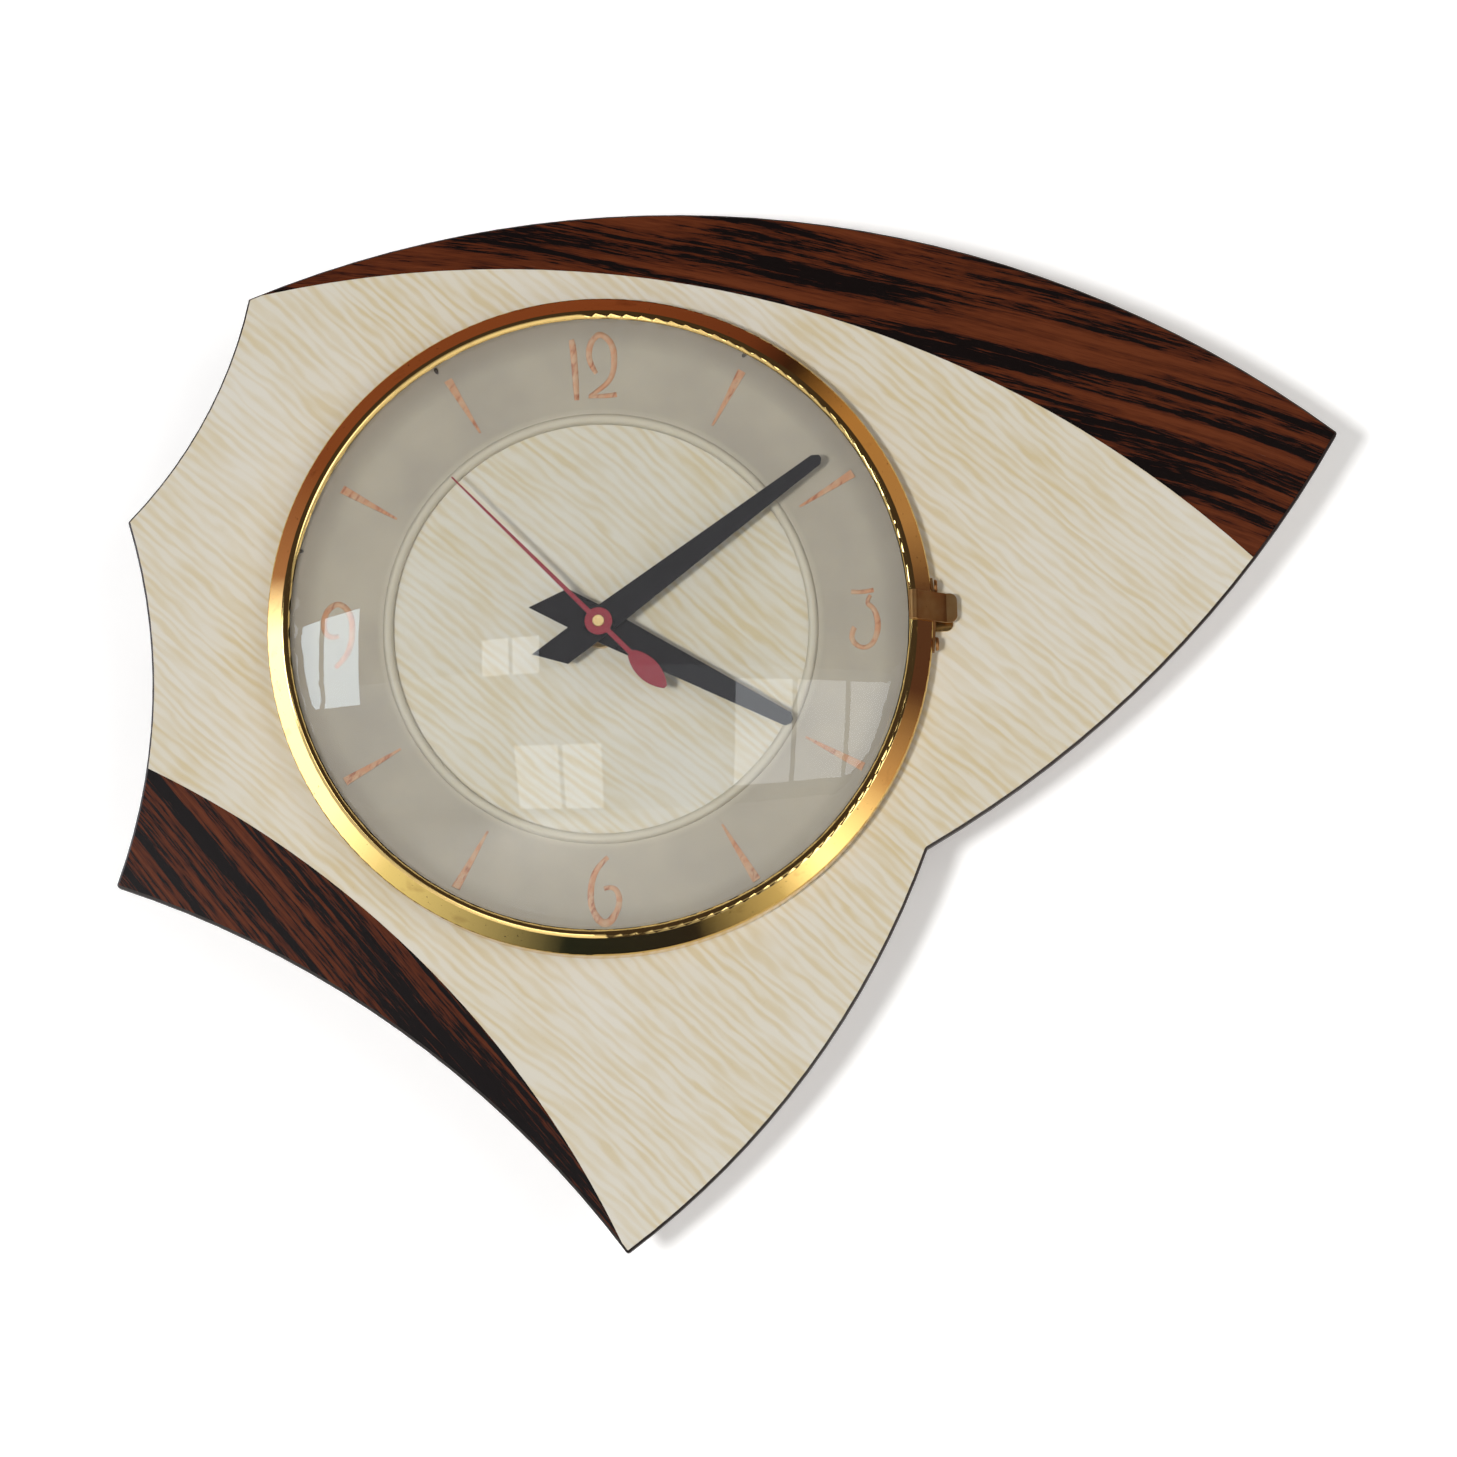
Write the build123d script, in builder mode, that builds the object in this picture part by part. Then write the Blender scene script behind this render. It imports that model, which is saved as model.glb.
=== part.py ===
from build123d import *
import os
from math import acos, cos, degrees, dist, hypot, pi, radians, sin, sqrt, tan

# Battery wall clock: a shaped laminate board carries a round glazed dial on its front and a
# moulded housing with the movement and its battery behind it. Millimetres, +Z up, the front
# looks along -Y. The origin is where the hands' axis meets the wall. "Depth" is the distance
# in front of the wall, and clock angles are degrees clockwise from twelve.

# ---------------------------------------------------------------- driving dimensions
# Board outline, clockwise from the upper left tip, and how far each side bows outwards
TIP_TOP_LEFT = (-89.4, 89.4)
TIP_RIGHT = (189.9, 45.3)
NOTCH = (81.7, -59.1)
TIP_BOTTOM = (3.2, -159.8)
TIP_LOWER_LEFT = (-125.2, -62.8)
TIP_LEFT = (-121.3, 31.7)
BOW_TOP = 38.0
BOW_RIGHT = 10.0
BOW_LOWER_RIGHT = 9.4
BOW_LOWER_LEFT = -12.3
BOW_LEFT = -7.7
BOW_UPPER_LEFT = -4.7
TIP_ROUND = 0.8
CORE_T = 3.4
LAMINATE_T = 0.6
EDGE_BEVEL = 0.6
# Centres of the two arcs where the cream sheet meets the dark ones; each arc starts at a tip
UPPER_BAND_CENTRE = (-32.4, -189.0)
LOWER_BAND_CENTRE = (-237.1, -266.2)

# Housing behind the board
CASE_DEPTH = 34.0
CASE_W = 94.0
CASE_H = 100.0
CASE_Z = -9.0
CASE_WALL = 2.0
CASE_CORNER = 9.0
CASE_REAR_ROUND = 1.0
RIB_Z = -28.0
RIB_T = 2.0
EAR_R = 5.0
EAR_T = 3.0
EAR_X = 30.0
EAR_OUT = 3.6
COVER_T = 1.4
COVER_GAP = 0.25
BOSS_R = 3.2
BOSS_INSET = 5.2
CASE_SCREW_R = 1.5
CASE_SCREW_BITE = 2.8
COVER_SCREW_R = 0.9
COVER_SCREW_BITE = 6.0

# Hanger bracket on top of the housing
HANGER_X = 9.0
HANGER_W = 30.0
HANGER_T = 1.2
HANGER_UP = 17.0
HANGER_FOOT = 14.0
KEYHOLE_R = 4.0
KEYHOLE_SLOT_W = 3.6
KEYHOLE_SLOT_UP = 6.5
KEYHOLE_UP = 6.5
HANGER_SCREW_R = 1.2
HANGER_SCREW_X = 10.0

# Brass bezel, base ring and glass, all round the hands' axis; the bezel sets their size
BEZEL_R = 85.0
BASE_RING_PLAY = 1.1
BASE_RING_H = 6.0
BASE_RING_T = 0.8
BASE_FLANGE_W = 3.4
BASE_SCREW_R = 0.8
BASE_SCREW_COUNT = 3
BASE_SCREW_START = 90.0
BEZEL_T = 0.7
BEZEL_LIFT = 0.4
BEZEL_SKIRT_H = 6.6
BEZEL_RIDGE_IN = 4.9
BEZEL_RIDGE_H = 12.0
BEZEL_LIP_IN = 1.4
BEZEL_LIP_H = 10.55
BEZEL_ROUND = 0.6
GLASS_UNDER_RIDGE = 0.5
GLASS_EDGE_H = 9.2
GLASS_RISE = 17.0
GLASS_T = 1.8
RETAINER_T = 0.5
RETAINER_W = 4.4

# Chapter ring and what it carries
CHAPTER_PLAY = 0.5
CHAPTER_W = 26.3
BEAD_W = 2.6
BEAD_H = 2.4
CHAPTER_FLOOR_H = 1.1
CHAPTER_RIM_H = 3.0
CHAPTER_BOW = -0.5
PIN_INSET = 1.4
PIN_R = 0.5
PIN_HEAD_H = 0.5
PIN_ANGLES = (15, 61, 121, 164, 198, 241, 300, 345)
MARK_FROM_BEAD = 6.5
MARK_FROM_RIM = 3.9
MARK_IN_W = 0.5
MARK_OUT_W = 2.2
MARK_T = 0.25
MARK_HOURS = (1, 2, 4, 5, 7, 8, 10, 11)

# Bezel hinge at nine o'clock, hidden between the base ring and the bezel's skirt
HINGE_IN = 0.9
HINGE_H = 1.5
HINGE_PIN_R = 0.4
HINGE_FIT = 0.05
KNUCKLE_R = 0.85
KNUCKLE_MID_L = 8.0
KNUCKLE_END_L = 6.0
KNUCKLE_GAP = 0.3
LEAF_T = 0.5
LEAF_UP = 3.6
HINGE_NOTCH_H = 2.0
HINGE_NOTCH_PLAY = 1.6
NOTCH_PLAY = 0.5

# Catch at three o'clock
STRAP_W = 7.4
STRAP_RISE = 1.9
STRAP_T = 0.8
STRAP_REACH = 6.2
STRAP_TIP_H = 3.6
CATCH_PLATE_L = 19.0
CATCH_PLATE_T = 0.6
CATCH_PLATE_H = 3.0
CATCH_RIVET_X = 7.45
CATCH_RIVET_R = 1.75
LUG_W = 7.0
LUG_T = 1.0
LUG_REACH = 6.8

# Hands: height of each above the board's front face
HOUR_HAND_H = 6.4
MINUTE_HAND_H = 8.6
SECOND_HAND_H = 11.0
HAND_T = 0.6
HOUR_ANGLE = 118.7
MINUTE_ANGLE = 54.3
SECOND_ANGLE = 316.3
MINUTE_SHORT_OF_RIM = 8.9
MINUTE_TIP_W = 3.2
MINUTE_HUB_W = 7.5
MINUTE_TAIL_LONG = 18.4
MINUTE_TAIL_SHORT = 12.6
HOUR_OVER_BEAD = 2.0
HOUR_TIP_W = 3.7
HOUR_HUB_W = 8.8
HOUR_TAIL_LONG = 18.0
HOUR_TAIL_SHORT = 11.4
SECOND_SHORT_OF_BEAD = 0.1
SECOND_T = 0.4
SECOND_HUB_R = 3.5
SECOND_ROOT_W = 1.3
SECOND_TIP_W = 0.4
SECOND_STEM = 11.7
STEM_IN_LEAF = 1.0
LEAF_L = 12.4
LEAF_W = 5.7
LEAF_ROOT_W = 2.2
LEAF_TIP_W = 1.0
CAP_R = 1.55
CAP_H = 1.0

# Shafts on the hands' axis, from the inside out, with one running clearance
FIT = 0.05
SECONDS_R = 0.6
CENTRE_TUBE_T = 0.45
CANNON_T = 0.45
HOUR_PIPE_T = 0.5
BUSH_T = 1.7
BUSH_FLANGE_R = 6.2
BUSH_FLANGE_T = 0.8
BUSH_OUT = 4.2
NUT_R = 5.2
NUT_H = 2.4
BUSH_PLAY = 0.2

# Movement plates and the depth where each of them starts
PLATE_T = 1.2
BACK_PLATE_D = 10.0
FRONT_PLATE_D = 26.0
PLATE_W = 62.0
PLATE_H = 60.0
PLATE_X = 2.0
PLATE_Z = 4.0
PLATE_CORNER = 6.0
PILLAR_R = 2.0
PILLAR_INSET = 4.0
PLATE_SCREW_R = 0.8
WINDOW_R = 5.0
WINDOW_OUT = 9.0
ARBOR_R = 0.6
PIVOT_OUT = 0.4

# Wheels: module, teeth and the depth where each starts
CLOCK_MODULE = 0.4
SECONDS_MODULE = 0.6
HOUR_PAIR_TEETH = (10, 40)
MINUTE_PAIR_TEETH = (12, 36)
CENTRE_PAIR_TEETH = (8, 64)
THIRD_PAIR_TEETH = (8, 60)
INDEX_PAIR_TEETH = (8, 40)
SET_TEETH = 12
INDEX_TEETH = 30
WHEEL_T = 0.8
LEAF_EXTRA = 0.5
CENTRE_WHEEL_D = 22.6
THIRD_WHEEL_D = 18.6
SECONDS_WHEEL_D = 14.6
MINUTE_WHEEL_D = 28.0
HOUR_WHEEL_D = 29.6
INDEX_WHEEL_D = 8.3
INDEX_R = 5.6
SAW_DEPTH = 0.8
SAW_LEAN = 2.0
THIRD_ANGLE = 150.0
INDEX_ANGLE = 40.0
MINUTE_ANGLE_DIAL = -90.0
BACKLASH = 0.05
RIM_W = 1.6
SPOKE_W = 1.3

# Balance
BALANCE_GAP = 7.0
BALANCE_R = 13.0
BALANCE_RIM_W = 2.6
BALANCE_T = 0.9
BALANCE_D = 5.9
BALANCE_HUB_R = 2.4
ROLLER_R = 1.1
MAGNET_R = 1.5
MAGNET_T = 0.9
SPRING_D = 5.0
SPRING_H = 0.5
SPRING_W = 0.16
SPRING_R0 = 1.9
SPRING_STEP = 0.42
SPRING_TURNS = 4
BRIDGE_D = 3.4
BRIDGE_T = 1.0
BRIDGE_W = 8.0
BRIDGE_CLEAR = 1.0
REGULATOR_T = 0.5
REGULATOR_L = 15.0
REGULATOR_SWING = 25.0
COIL_R = 4.2
COIL_H = 1.5
SET_KNOB_R = 6.5
SET_KNOB_H = 5.0
SET_KNOB_D = 0.7
SET_KNOB_NOTCHES = 16
SET_KNOB_NOTCH_R = 0.46

# Battery and its door
CELL_R = 13.0
CELL_L = 47.5
CELL_NUB_R = 3.2
CELL_NUB_L = 1.5
CELL_GAP = 0.2
CELL_Z = -43.5
CELL_D = 16.8
CRADLE_X = 15.0
CONTACT_T = 0.5
CONTACT_W = 10.0
CONTACT_X = 3.0
DOOR_T = 1.5
DOOR_AXIS_D = 2.2
DOOR_PIN_R = 1.0
DOOR_BARREL_R = 1.5
DOOR_GAP = 0.3

# Electronics on the back plate
BOARD_W = 13.0
BOARD_L = 16.0
BOARD_T = 1.4
BOARD_INSET_X = 14.5
BOARD_INSET_Z = 12.0
BOARD_STANDOFF = 0.5
TRANSISTOR_R = 2.3
TRANSISTOR_H = 3.2
CAPACITOR_R = 2.0
CAPACITOR_L = 9.0

# ---------------------------------------------------------------- places worked out from them
CORE_FRONT = CASE_DEPTH + CORE_T
FRONT = CORE_FRONT + LAMINATE_T
UPPER_BAND_R = dist(TIP_TOP_LEFT, UPPER_BAND_CENTRE)
LOWER_BAND_R = dist(TIP_BOTTOM, LOWER_BAND_CENTRE)
BEZEL_RIDGE_R = BEZEL_R - BEZEL_RIDGE_IN
BEZEL_LIP_R = BEZEL_RIDGE_R - BEZEL_LIP_IN
GLASS_R = BEZEL_RIDGE_R + GLASS_UNDER_RIDGE
BASE_RING_R = BEZEL_R - BEZEL_T - BASE_RING_PLAY
CHAPTER_R = BASE_RING_R - BASE_FLANGE_W - CHAPTER_PLAY
CHAPTER_IN_R = CHAPTER_R - CHAPTER_W
PIN_CIRCLE_R = CHAPTER_R - PIN_INSET
MARK_IN_R = CHAPTER_IN_R + MARK_FROM_BEAD
MARK_OUT_R = CHAPTER_R - MARK_FROM_RIM
MINUTE_L = CHAPTER_R - MINUTE_SHORT_OF_RIM
HOUR_L = CHAPTER_IN_R + HOUR_OVER_BEAD
SECOND_L = CHAPTER_IN_R - SECOND_SHORT_OF_BEAD
BOARD_X = PLATE_X - PLATE_W / 2 + BOARD_INSET_X
BOARD_Z = PLATE_Z - PLATE_H / 2 + BOARD_INSET_Z
CENTRE_TUBE_R = SECONDS_R + FIT + CENTRE_TUBE_T
CANNON_R = CENTRE_TUBE_R + FIT + CANNON_T
HOUR_PIPE_R = CANNON_R + FIT + HOUR_PIPE_T
BUSH_R = HOUR_PIPE_R + FIT + BUSH_T
INNER_W = CASE_W - 2 * CASE_WALL
CASE_TOP = CASE_Z + CASE_H / 2
CASE_BOTTOM = CASE_Z - CASE_H / 2
BAY_TOP = CASE_TOP - CASE_WALL
BAY_BOTTOM = RIB_Z + RIB_T / 2
CELL_BAY_TOP = RIB_Z - RIB_T / 2
CELL_BAY_BOTTOM = CASE_BOTTOM + CASE_WALL
FRONT_WALL_D = CASE_DEPTH - CASE_WALL
BAY_END_X = INNER_W / 2 - CASE_CORNER + CASE_WALL
BOSS_SPOTS = [
    (x, z)
    for x in (-INNER_W / 2 + BOSS_INSET, INNER_W / 2 - BOSS_INSET)
    for z in (BAY_BOTTOM + BOSS_INSET, BAY_TOP - BOSS_INSET)
]
EAR_SPOTS = [(x, z) for x in (-EAR_X, EAR_X) for z in (CASE_TOP + EAR_OUT, CASE_BOTTOM - EAR_OUT)]
PILLAR_SPOTS = [
    (PLATE_X + sx * (PLATE_W / 2 - PILLAR_INSET), PLATE_Z + sz * (PLATE_H / 2 - PILLAR_INSET))
    for sx in (-1, 1)
    for sz in (-1, 1)
]
HINGE_X = -BEZEL_R + HINGE_IN
HINGE_D = FRONT + HINGE_H
MID_TOP = KNUCKLE_MID_L / 2
END_LOW = MID_TOP + KNUCKLE_GAP
END_TOP = END_LOW + KNUCKLE_END_L
BASE_SCREW_CIRCLE = BASE_RING_R - BASE_FLANGE_W + (BASE_FLANGE_W - BASE_RING_T) / 2
GLASS_SPHERE_R = (GLASS_R**2 + GLASS_RISE**2) / (2 * GLASS_RISE)
GLASS_CENTRE_D = FRONT + GLASS_EDGE_H + GLASS_RISE - GLASS_SPHERE_R
DISH_IN = (CHAPTER_IN_R + BEAD_W, FRONT + CHAPTER_FLOOR_H)
DISH_OUT = (CHAPTER_R, FRONT + CHAPTER_RIM_H)


def layer(depth):
    """Plane parallel to the wall at a depth: local x is +X and local y is +Z."""
    return Plane.XZ.offset(depth)


def hand_plane(depth, clock_angle):
    """Dial plane whose local x runs along a hand, so local y is on its anticlockwise side."""
    a = radians(clock_angle)
    return Plane(origin=(0, -depth, 0), x_dir=(sin(a), 0, cos(a)), z_dir=(0, -1, 0))


def arbor_plane(axis, depth):
    """Layer whose origin lies on an arbor."""
    return Plane(origin=(axis[0], -depth, axis[1]), x_dir=(1, 0, 0), z_dir=(0, -1, 0))


# Half-plane for turned sections: local x is the radius and local y the depth
SECTION = Plane(origin=(0, 0, 0), x_dir=(1, 0, 0), z_dir=(0, 0, -1))


def polar(radius, angle):
    """Point at a mathematical angle in a layer."""
    return (radius * cos(radians(angle)), radius * sin(radians(angle)))


# ---------------------------------------------------------------- toothed wheels
PRESSURE = radians(25)
PINION_SHIFT = 0.4
PINION_ADDENDUM = 1.15
PINION_DEDENDUM = 0.85
WHEEL_ADDENDUM = 0.6
WHEEL_DEDENDUM = 1.4


def involute(angle):
    return tan(angle) - angle


def half_tooth(radius, module, teeth, shift):
    """Half of a tooth's angular width at a radius, in radians."""
    pitch_r = module * teeth / 2
    base_r = pitch_r * cos(PRESSURE)
    at = acos(min(1.0, base_r / radius))
    at_pitch = (pi / 2 + 2 * shift * tan(PRESSURE)) * module / pitch_r / 2
    return at_pitch + involute(PRESSURE) - involute(at) - BACKLASH / pitch_r / 2


def gear(module, teeth, phase, pinion=False):
    """Toothed outline with one tooth centred on the phase angle (degrees)."""
    pitch_r = module * teeth / 2
    shift = PINION_SHIFT if pinion else -PINION_SHIFT
    tip_r = pitch_r + module * (PINION_ADDENDUM if pinion else WHEEL_ADDENDUM)
    root_r = pitch_r - module * (PINION_DEDENDUM if pinion else WHEEL_DEDENDUM)
    base_r = max(root_r, pitch_r * cos(PRESSURE))
    radii = [root_r, base_r, (base_r + tip_r) / 2, tip_r] if pinion else [root_r, tip_r]
    points = []
    for tooth in range(teeth):
        middle = radians(phase) + tooth * 2 * pi / teeth
        for side, order in ((-1, radii), (1, reversed(radii))):
            for r in order:
                a = middle + side * half_tooth(max(r, base_r), module, teeth, shift)
                points.append((r * cos(a), r * sin(a)))
    with BuildSketch() as outline_sketch:
        with BuildLine():
            Polyline(*points, close=True)
        make_face()
    return outline_sketch.sketch


def crossed_wheel(module, teeth, phase, bore_r, spokes):
    """Wheel with its web cut out between the spokes."""
    root_r = module * (teeth / 2 - WHEEL_DEDENDUM)
    with BuildSketch() as wheel:
        add(gear(module, teeth, phase))
        Circle(root_r - RIM_W, mode=Mode.SUBTRACT)
        Circle(bore_r + RIM_W)
        for k in range(spokes):
            with Locations(Rotation(0, 0, phase + k * 360 / spokes)):
                Rectangle(root_r - RIM_W / 2, SPOKE_W, align=(Align.MIN, Align.CENTER))
        Circle(bore_r, mode=Mode.SUBTRACT)
    return wheel.sketch


def mesh_phase(angle, phase, teeth, mate_teeth):
    """Phase that puts the mate's teeth in the gaps, where the mate lies at an angle from the wheel."""
    turned = (angle - phase) * teeth / 360
    return angle + 180 - (0.5 - turned) * 360 / mate_teeth


# Module of a pair that has to share another pair's centre distance
def matched_module(pair, other_pair, other_module):
    return other_module * sum(other_pair) / sum(pair)


THIRD_MODULE = matched_module(THIRD_PAIR_TEETH, CENTRE_PAIR_TEETH, CLOCK_MODULE)
HOUR_MODULE = matched_module(HOUR_PAIR_TEETH, MINUTE_PAIR_TEETH, CLOCK_MODULE)
THIRD_AXIS = polar(CLOCK_MODULE * sum(CENTRE_PAIR_TEETH) / 2, THIRD_ANGLE)
INDEX_DISTANCE = SECONDS_MODULE * sum(INDEX_PAIR_TEETH) / 2
INDEX_AXIS = polar(INDEX_DISTANCE, INDEX_ANGLE)
BALANCE_AXIS = polar(INDEX_DISTANCE + BALANCE_GAP, INDEX_ANGLE)
MINUTE_AXIS = polar(CLOCK_MODULE * sum(MINUTE_PAIR_TEETH) / 2, MINUTE_ANGLE_DIAL)
SET_DISTANCE = CLOCK_MODULE * (MINUTE_PAIR_TEETH[1] + SET_TEETH) / 2
SET_AXIS = (MINUTE_AXIS[0], MINUTE_AXIS[1] - SET_DISTANCE)


# ---------------------------------------------------------------- board and laminates
def board_outline():
    with BuildSketch() as shape:
        with BuildLine():
            SagittaArc(TIP_TOP_LEFT, TIP_RIGHT, BOW_TOP)
            SagittaArc(TIP_RIGHT, NOTCH, BOW_RIGHT)
            SagittaArc(NOTCH, TIP_BOTTOM, BOW_LOWER_RIGHT)
            SagittaArc(TIP_BOTTOM, TIP_LOWER_LEFT, BOW_LOWER_LEFT)
            SagittaArc(TIP_LOWER_LEFT, TIP_LEFT, BOW_LEFT)
            SagittaArc(TIP_LEFT, TIP_TOP_LEFT, BOW_UPPER_LEFT)
        make_face()
        fillet(shape.vertices(), TIP_ROUND)
    return shape.sketch


with BuildPart() as board:
    with BuildSketch(layer(CASE_DEPTH)):
        add(board_outline())
    extrude(amount=CORE_T)
    chamfer(board.faces().sort_by(Axis.Y)[0].outer_wire().edges(), EDGE_BEVEL)
    # The decorative sheets cover this face, so the core's bevel shows as a dark line round them
    sheet_face = board.faces().sort_by(Axis.Y)[0]
    with BuildSketch(layer(CASE_DEPTH)):
        Circle(BUSH_R + BUSH_PLAY)
    extrude(amount=CORE_T, mode=Mode.SUBTRACT)
    with BuildSketch(layer(CASE_DEPTH)):
        with Locations(*EAR_SPOTS):
            Circle(CASE_SCREW_R)
    extrude(amount=CASE_SCREW_BITE, mode=Mode.SUBTRACT)
    with BuildSketch(layer(CORE_FRONT)):
        with PolarLocations(BASE_SCREW_CIRCLE, BASE_SCREW_COUNT, BASE_SCREW_START):
            Circle(BASE_SCREW_R)
        for angle in PIN_ANGLES:
            with Locations(polar(PIN_CIRCLE_R, angle)):
                Circle(PIN_R)
    extrude(amount=-CORE_T / 2, mode=Mode.SUBTRACT)
board.part.label = "board"


def sheet_holes():
    """Holes that the front sheet shares with the core."""
    with BuildSketch() as holes:
        Circle(BUSH_R + BUSH_PLAY)
        with PolarLocations(BASE_SCREW_CIRCLE, BASE_SCREW_COUNT, BASE_SCREW_START):
            Circle(BASE_SCREW_R)
        for angle in PIN_ANGLES:
            with Locations(polar(PIN_CIRCLE_R, angle)):
                Circle(PIN_R)
    return holes.sketch


with BuildPart() as laminate_cream:
    extrude(sheet_face, amount=LAMINATE_T)
    with BuildSketch(layer(CORE_FRONT)):
        with Locations(UPPER_BAND_CENTRE):
            Circle(UPPER_BAND_R)
    extrude(amount=LAMINATE_T, mode=Mode.INTERSECT)
    with BuildSketch(layer(CORE_FRONT)):
        with Locations(LOWER_BAND_CENTRE):
            Circle(LOWER_BAND_R)
        add(sheet_holes())
    extrude(amount=LAMINATE_T, mode=Mode.SUBTRACT)
laminate_cream.part.label = "laminate_cream"

with BuildPart() as laminate_dark_upper:
    extrude(sheet_face, amount=LAMINATE_T)
    with BuildSketch(layer(CORE_FRONT)):
        with Locations(UPPER_BAND_CENTRE):
            Circle(UPPER_BAND_R)
    extrude(amount=LAMINATE_T, mode=Mode.SUBTRACT)
laminate_dark_upper.part.label = "laminate_dark_upper"

with BuildPart() as laminate_dark_lower:
    extrude(sheet_face, amount=LAMINATE_T)
    with BuildSketch(layer(CORE_FRONT)):
        with Locations(LOWER_BAND_CENTRE):
            Circle(LOWER_BAND_R)
    extrude(amount=LAMINATE_T, mode=Mode.INTERSECT)
laminate_dark_lower.part.label = "laminate_dark_lower"

# ---------------------------------------------------------------- base ring and chapter ring
with BuildPart() as base_ring:
    with BuildSketch(SECTION):
        with BuildLine():
            Polyline(
                (BASE_RING_R - BASE_FLANGE_W, FRONT),
                (BASE_RING_R, FRONT),
                (BASE_RING_R, FRONT + BASE_RING_H),
                (BASE_RING_R - BASE_RING_T, FRONT + BASE_RING_H),
                (BASE_RING_R - BASE_RING_T, FRONT + BASE_RING_T),
                (BASE_RING_R - BASE_FLANGE_W, FRONT + BASE_RING_T),
                close=True,
            )
        make_face()
    revolve(axis=Axis.Y)
    with BuildSketch(layer(FRONT)):
        with PolarLocations(BASE_SCREW_CIRCLE, BASE_SCREW_COUNT, BASE_SCREW_START):
            Circle(BASE_SCREW_R)
    extrude(amount=BASE_RING_T, mode=Mode.SUBTRACT)
base_ring.part.label = "base_ring"

with BuildPart() as base_ring_screws:
    with BuildSketch(layer(CORE_FRONT - CORE_T / 2)):
        with PolarLocations(BASE_SCREW_CIRCLE, BASE_SCREW_COUNT, BASE_SCREW_START):
            Circle(BASE_SCREW_R)
    extrude(amount=CORE_T / 2 + LAMINATE_T + BASE_RING_T)
    with BuildSketch(layer(FRONT + BASE_RING_T)):
        with PolarLocations(BASE_SCREW_CIRCLE, BASE_SCREW_COUNT, BASE_SCREW_START):
            Circle(BASE_SCREW_R * 1.4)
    extrude(amount=BASE_SCREW_R)
base_ring_screws.part.label = "base_ring_screws"

with BuildPart() as chapter_ring:
    with BuildSketch(SECTION):
        with BuildLine():
            Line((CHAPTER_IN_R, FRONT), (CHAPTER_IN_R, FRONT + CHAPTER_FLOOR_H))
            bead_top = (CHAPTER_IN_R + BEAD_W / 2, FRONT + BEAD_H)
            ThreePointArc((CHAPTER_IN_R, FRONT + CHAPTER_FLOOR_H), bead_top, DISH_IN)
            SagittaArc(DISH_IN, DISH_OUT, CHAPTER_BOW)
            Polyline(DISH_OUT, (CHAPTER_R, FRONT), (CHAPTER_IN_R, FRONT))
        make_face()
    revolve(axis=Axis.Y)
    for angle in PIN_ANGLES:
        with BuildSketch(layer(FRONT)):
            with Locations(polar(PIN_CIRCLE_R, angle)):
                Circle(PIN_R)
        extrude(amount=BEAD_H + CHAPTER_RIM_H, mode=Mode.SUBTRACT)
chapter_ring.part.label = "chapter_ring"

with BuildPart() as chapter_ring_pins:
    with BuildSketch(layer(CORE_FRONT - CORE_T / 2)):
        for angle in PIN_ANGLES:
            with Locations(polar(PIN_CIRCLE_R, angle)):
                Circle(PIN_R)
    extrude(amount=CORE_T / 2 + LAMINATE_T + CHAPTER_RIM_H + PIN_HEAD_H)
chapter_ring_pins.part.label = "chapter_ring_pins"

with BuildPart() as hour_marks:
    with BuildSketch(SECTION):
        with BuildLine():
            SagittaArc(DISH_IN, DISH_OUT, CHAPTER_BOW)
            Line(DISH_OUT, (DISH_OUT[0], DISH_OUT[1] + MARK_T))
            mark_in = (DISH_IN[0], DISH_IN[1] + MARK_T)
            SagittaArc(mark_in, (DISH_OUT[0], DISH_OUT[1] + MARK_T), CHAPTER_BOW)
            Line(mark_in, DISH_IN)
        make_face()
    revolve(axis=Axis.Y)
    with BuildSketch(layer(FRONT)):
        for hour in MARK_HOURS:
            Polygon(
                (MARK_IN_R, -MARK_IN_W / 2),
                (MARK_OUT_R, -MARK_OUT_W / 2),
                (MARK_OUT_R, MARK_OUT_W / 2),
                (MARK_IN_R, MARK_IN_W / 2),
                rotation=90 - 30 * hour,
                align=None,
            )
    extrude(amount=BEAD_H + CHAPTER_RIM_H, mode=Mode.INTERSECT)
hour_marks.part.label = "hour_marks"

# ---------------------------------------------------------------- bezel, glass and retainer
SKIRT_D = FRONT + BEZEL_LIFT
SHOULDER_D = FRONT + BEZEL_SKIRT_H
RIDGE_D = FRONT + BEZEL_RIDGE_H
NOTCH_W = 2 * (END_TOP + HINGE_NOTCH_PLAY)
with BuildPart() as bezel:
    with BuildSketch(SECTION):
        with BuildLine() as skin:
            FilletPolyline(
                (BEZEL_R, SKIRT_D),
                (BEZEL_R, SHOULDER_D),
                (BEZEL_RIDGE_R, RIDGE_D),
                (BEZEL_LIP_R, FRONT + BEZEL_LIP_H),
                radius=BEZEL_ROUND + BEZEL_T,
            )
            offset(amount=BEZEL_T, side=Side.LEFT)
        make_face()
    revolve(axis=Axis.Y)
    with BuildSketch(layer(SKIRT_D)):
        with Locations((-BEZEL_R, 0)):
            Rectangle(4 * BEZEL_T, NOTCH_W)
    extrude(amount=HINGE_NOTCH_H, mode=Mode.SUBTRACT)
    with BuildSketch(layer(SKIRT_D)):
        with Locations((BEZEL_R, 0)):
            Rectangle(4 * BEZEL_T, LUG_W + 2 * NOTCH_PLAY)
    extrude(amount=LUG_T + NOTCH_PLAY, mode=Mode.SUBTRACT)
bezel.part.label = "bezel"

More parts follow.
